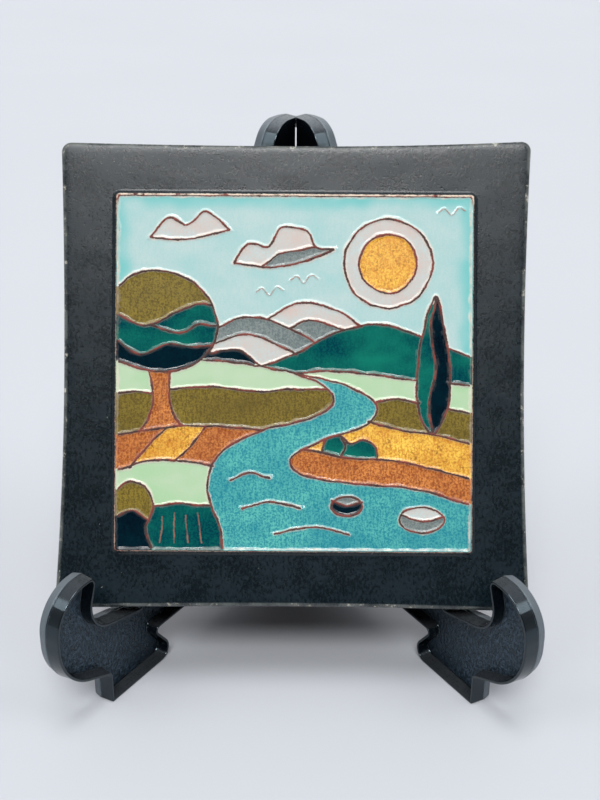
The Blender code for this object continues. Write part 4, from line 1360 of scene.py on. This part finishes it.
def make_floor():
    """A wide pale floor."""
    corners = ((-1, -1), (1, -1), (1, 1), (-1, 1))
    mesh = bpy.data.meshes.new("floor")
    mesh.from_pydata([(x * FLOOR_REACH, y * FLOOR_REACH, 0) for x, y in corners], [], [(0, 1, 2, 3)])
    n = Nodes(bpy.data.materials.new("floor paper"))
    place = n.add("ShaderNodeTexCoord", {}, "Object")
    colour = n.mix(n.noise(place, 3.0, 2.0), FLOOR, FLOOR_DARK)
    bump = n.bump(n.noise(place, 400.0, 2.0), FLOOR_GRAIN, 0.2)
    mesh.materials.append(n.finish({"Base Color": colour, "Roughness": FLOOR_ROUGHNESS, "Normal": bump,
                                    "Specular IOR Level": 0.0}))
    add_object("floor", mesh)


def make_surround():
    """A pale surround, dim in front of the object, where the photograph was taken from."""
    n = Nodes(bpy.data.worlds.new("surround"), "Background")
    front = (0.0, -math.cos(CAMERA_PITCH), math.sin(CAMERA_PITCH))
    nearness = n.vectors("DOT_PRODUCT", n.add("ShaderNodeTexCoord", {}, "Generated"), front, "Value")
    strength = n.between(nearness, math.cos(SURROUND_DIM_END), math.cos(SURROUND_DIM_START),
                         SURROUND_BRIGHT, SURROUND_DIM)
    bpy.context.scene.world = n.finish({"Color": SURROUND_COLOUR, "Strength": strength})


def make_lights():
    """Broad soft lights, each as strong and as wide as given, at a height from straight in front."""
    for name, strength, breadth, height, turn in LIGHTS:
        lamp = bpy.data.lights.new(name, "SUN")
        lamp.energy = strength
        lamp.angle = math.radians(breadth)
        light = add_object(name, lamp)
        light.rotation_euler = (math.radians(90.0 - height), 0.0, math.radians(turn))
    bpy.context.scene.view_settings.view_transform = "Standard"


def make_camera(centre):
    """The photograph's camera: its place follows from the picture's size and place in the image."""
    camera = bpy.data.cameras.new("camera")
    camera.sensor_width = SENSOR_WIDTH
    camera.lens = FOCAL_PIXELS / max(IMAGE_WIDTH, IMAGE_HEIGHT) * SENSOR_WIDTH
    ahead = Vector((0.0, math.cos(CAMERA_PITCH), -math.sin(CAMERA_PITCH)))
    level_up = Vector((0.0, math.sin(CAMERA_PITCH), math.cos(CAMERA_PITCH)))
    level_right = Vector((1.0, 0.0, 0.0))
    up = level_up * math.cos(CAMERA_ROLL) - level_right * math.sin(CAMERA_ROLL)
    right = level_right * math.cos(CAMERA_ROLL) + level_up * math.sin(CAMERA_ROLL)
    away = FOCAL_PIXELS / PIXELS_PER_METRE
    aside = (IMAGE_WIDTH / 2 - PICTURE_CENTRE_PIXEL[0]) / PIXELS_PER_METRE
    above = (IMAGE_HEIGHT / 2 - PICTURE_CENTRE_PIXEL[1]) / PIXELS_PER_METRE
    axes = Matrix((right, up, -ahead)).transposed().to_4x4()
    viewer = add_object("camera", camera)
    viewer.matrix_world = Matrix.Translation(centre - away * ahead + aside * right - above * up) @ axes
    bpy.context.scene.camera = viewer


def main():
    tile = make_tile()
    tile.data.materials.append(tile_material())
    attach(tile, "root")
    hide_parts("tile")
    plastic = plastic_material()
    halves = (("stand_left", "plastic_half_left", -1), ("stand_right", "plastic_half_right", 1))
    for node, name, side in halves:
        half = make_half(name, side)
        half.data.materials.clear()
        half.data.materials.append(plastic)
        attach(half, "root")
        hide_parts(node)
    make_camera(tile_matrix(tile_outline()).translation)
    make_surround()
    make_lights()
    make_floor()


main()
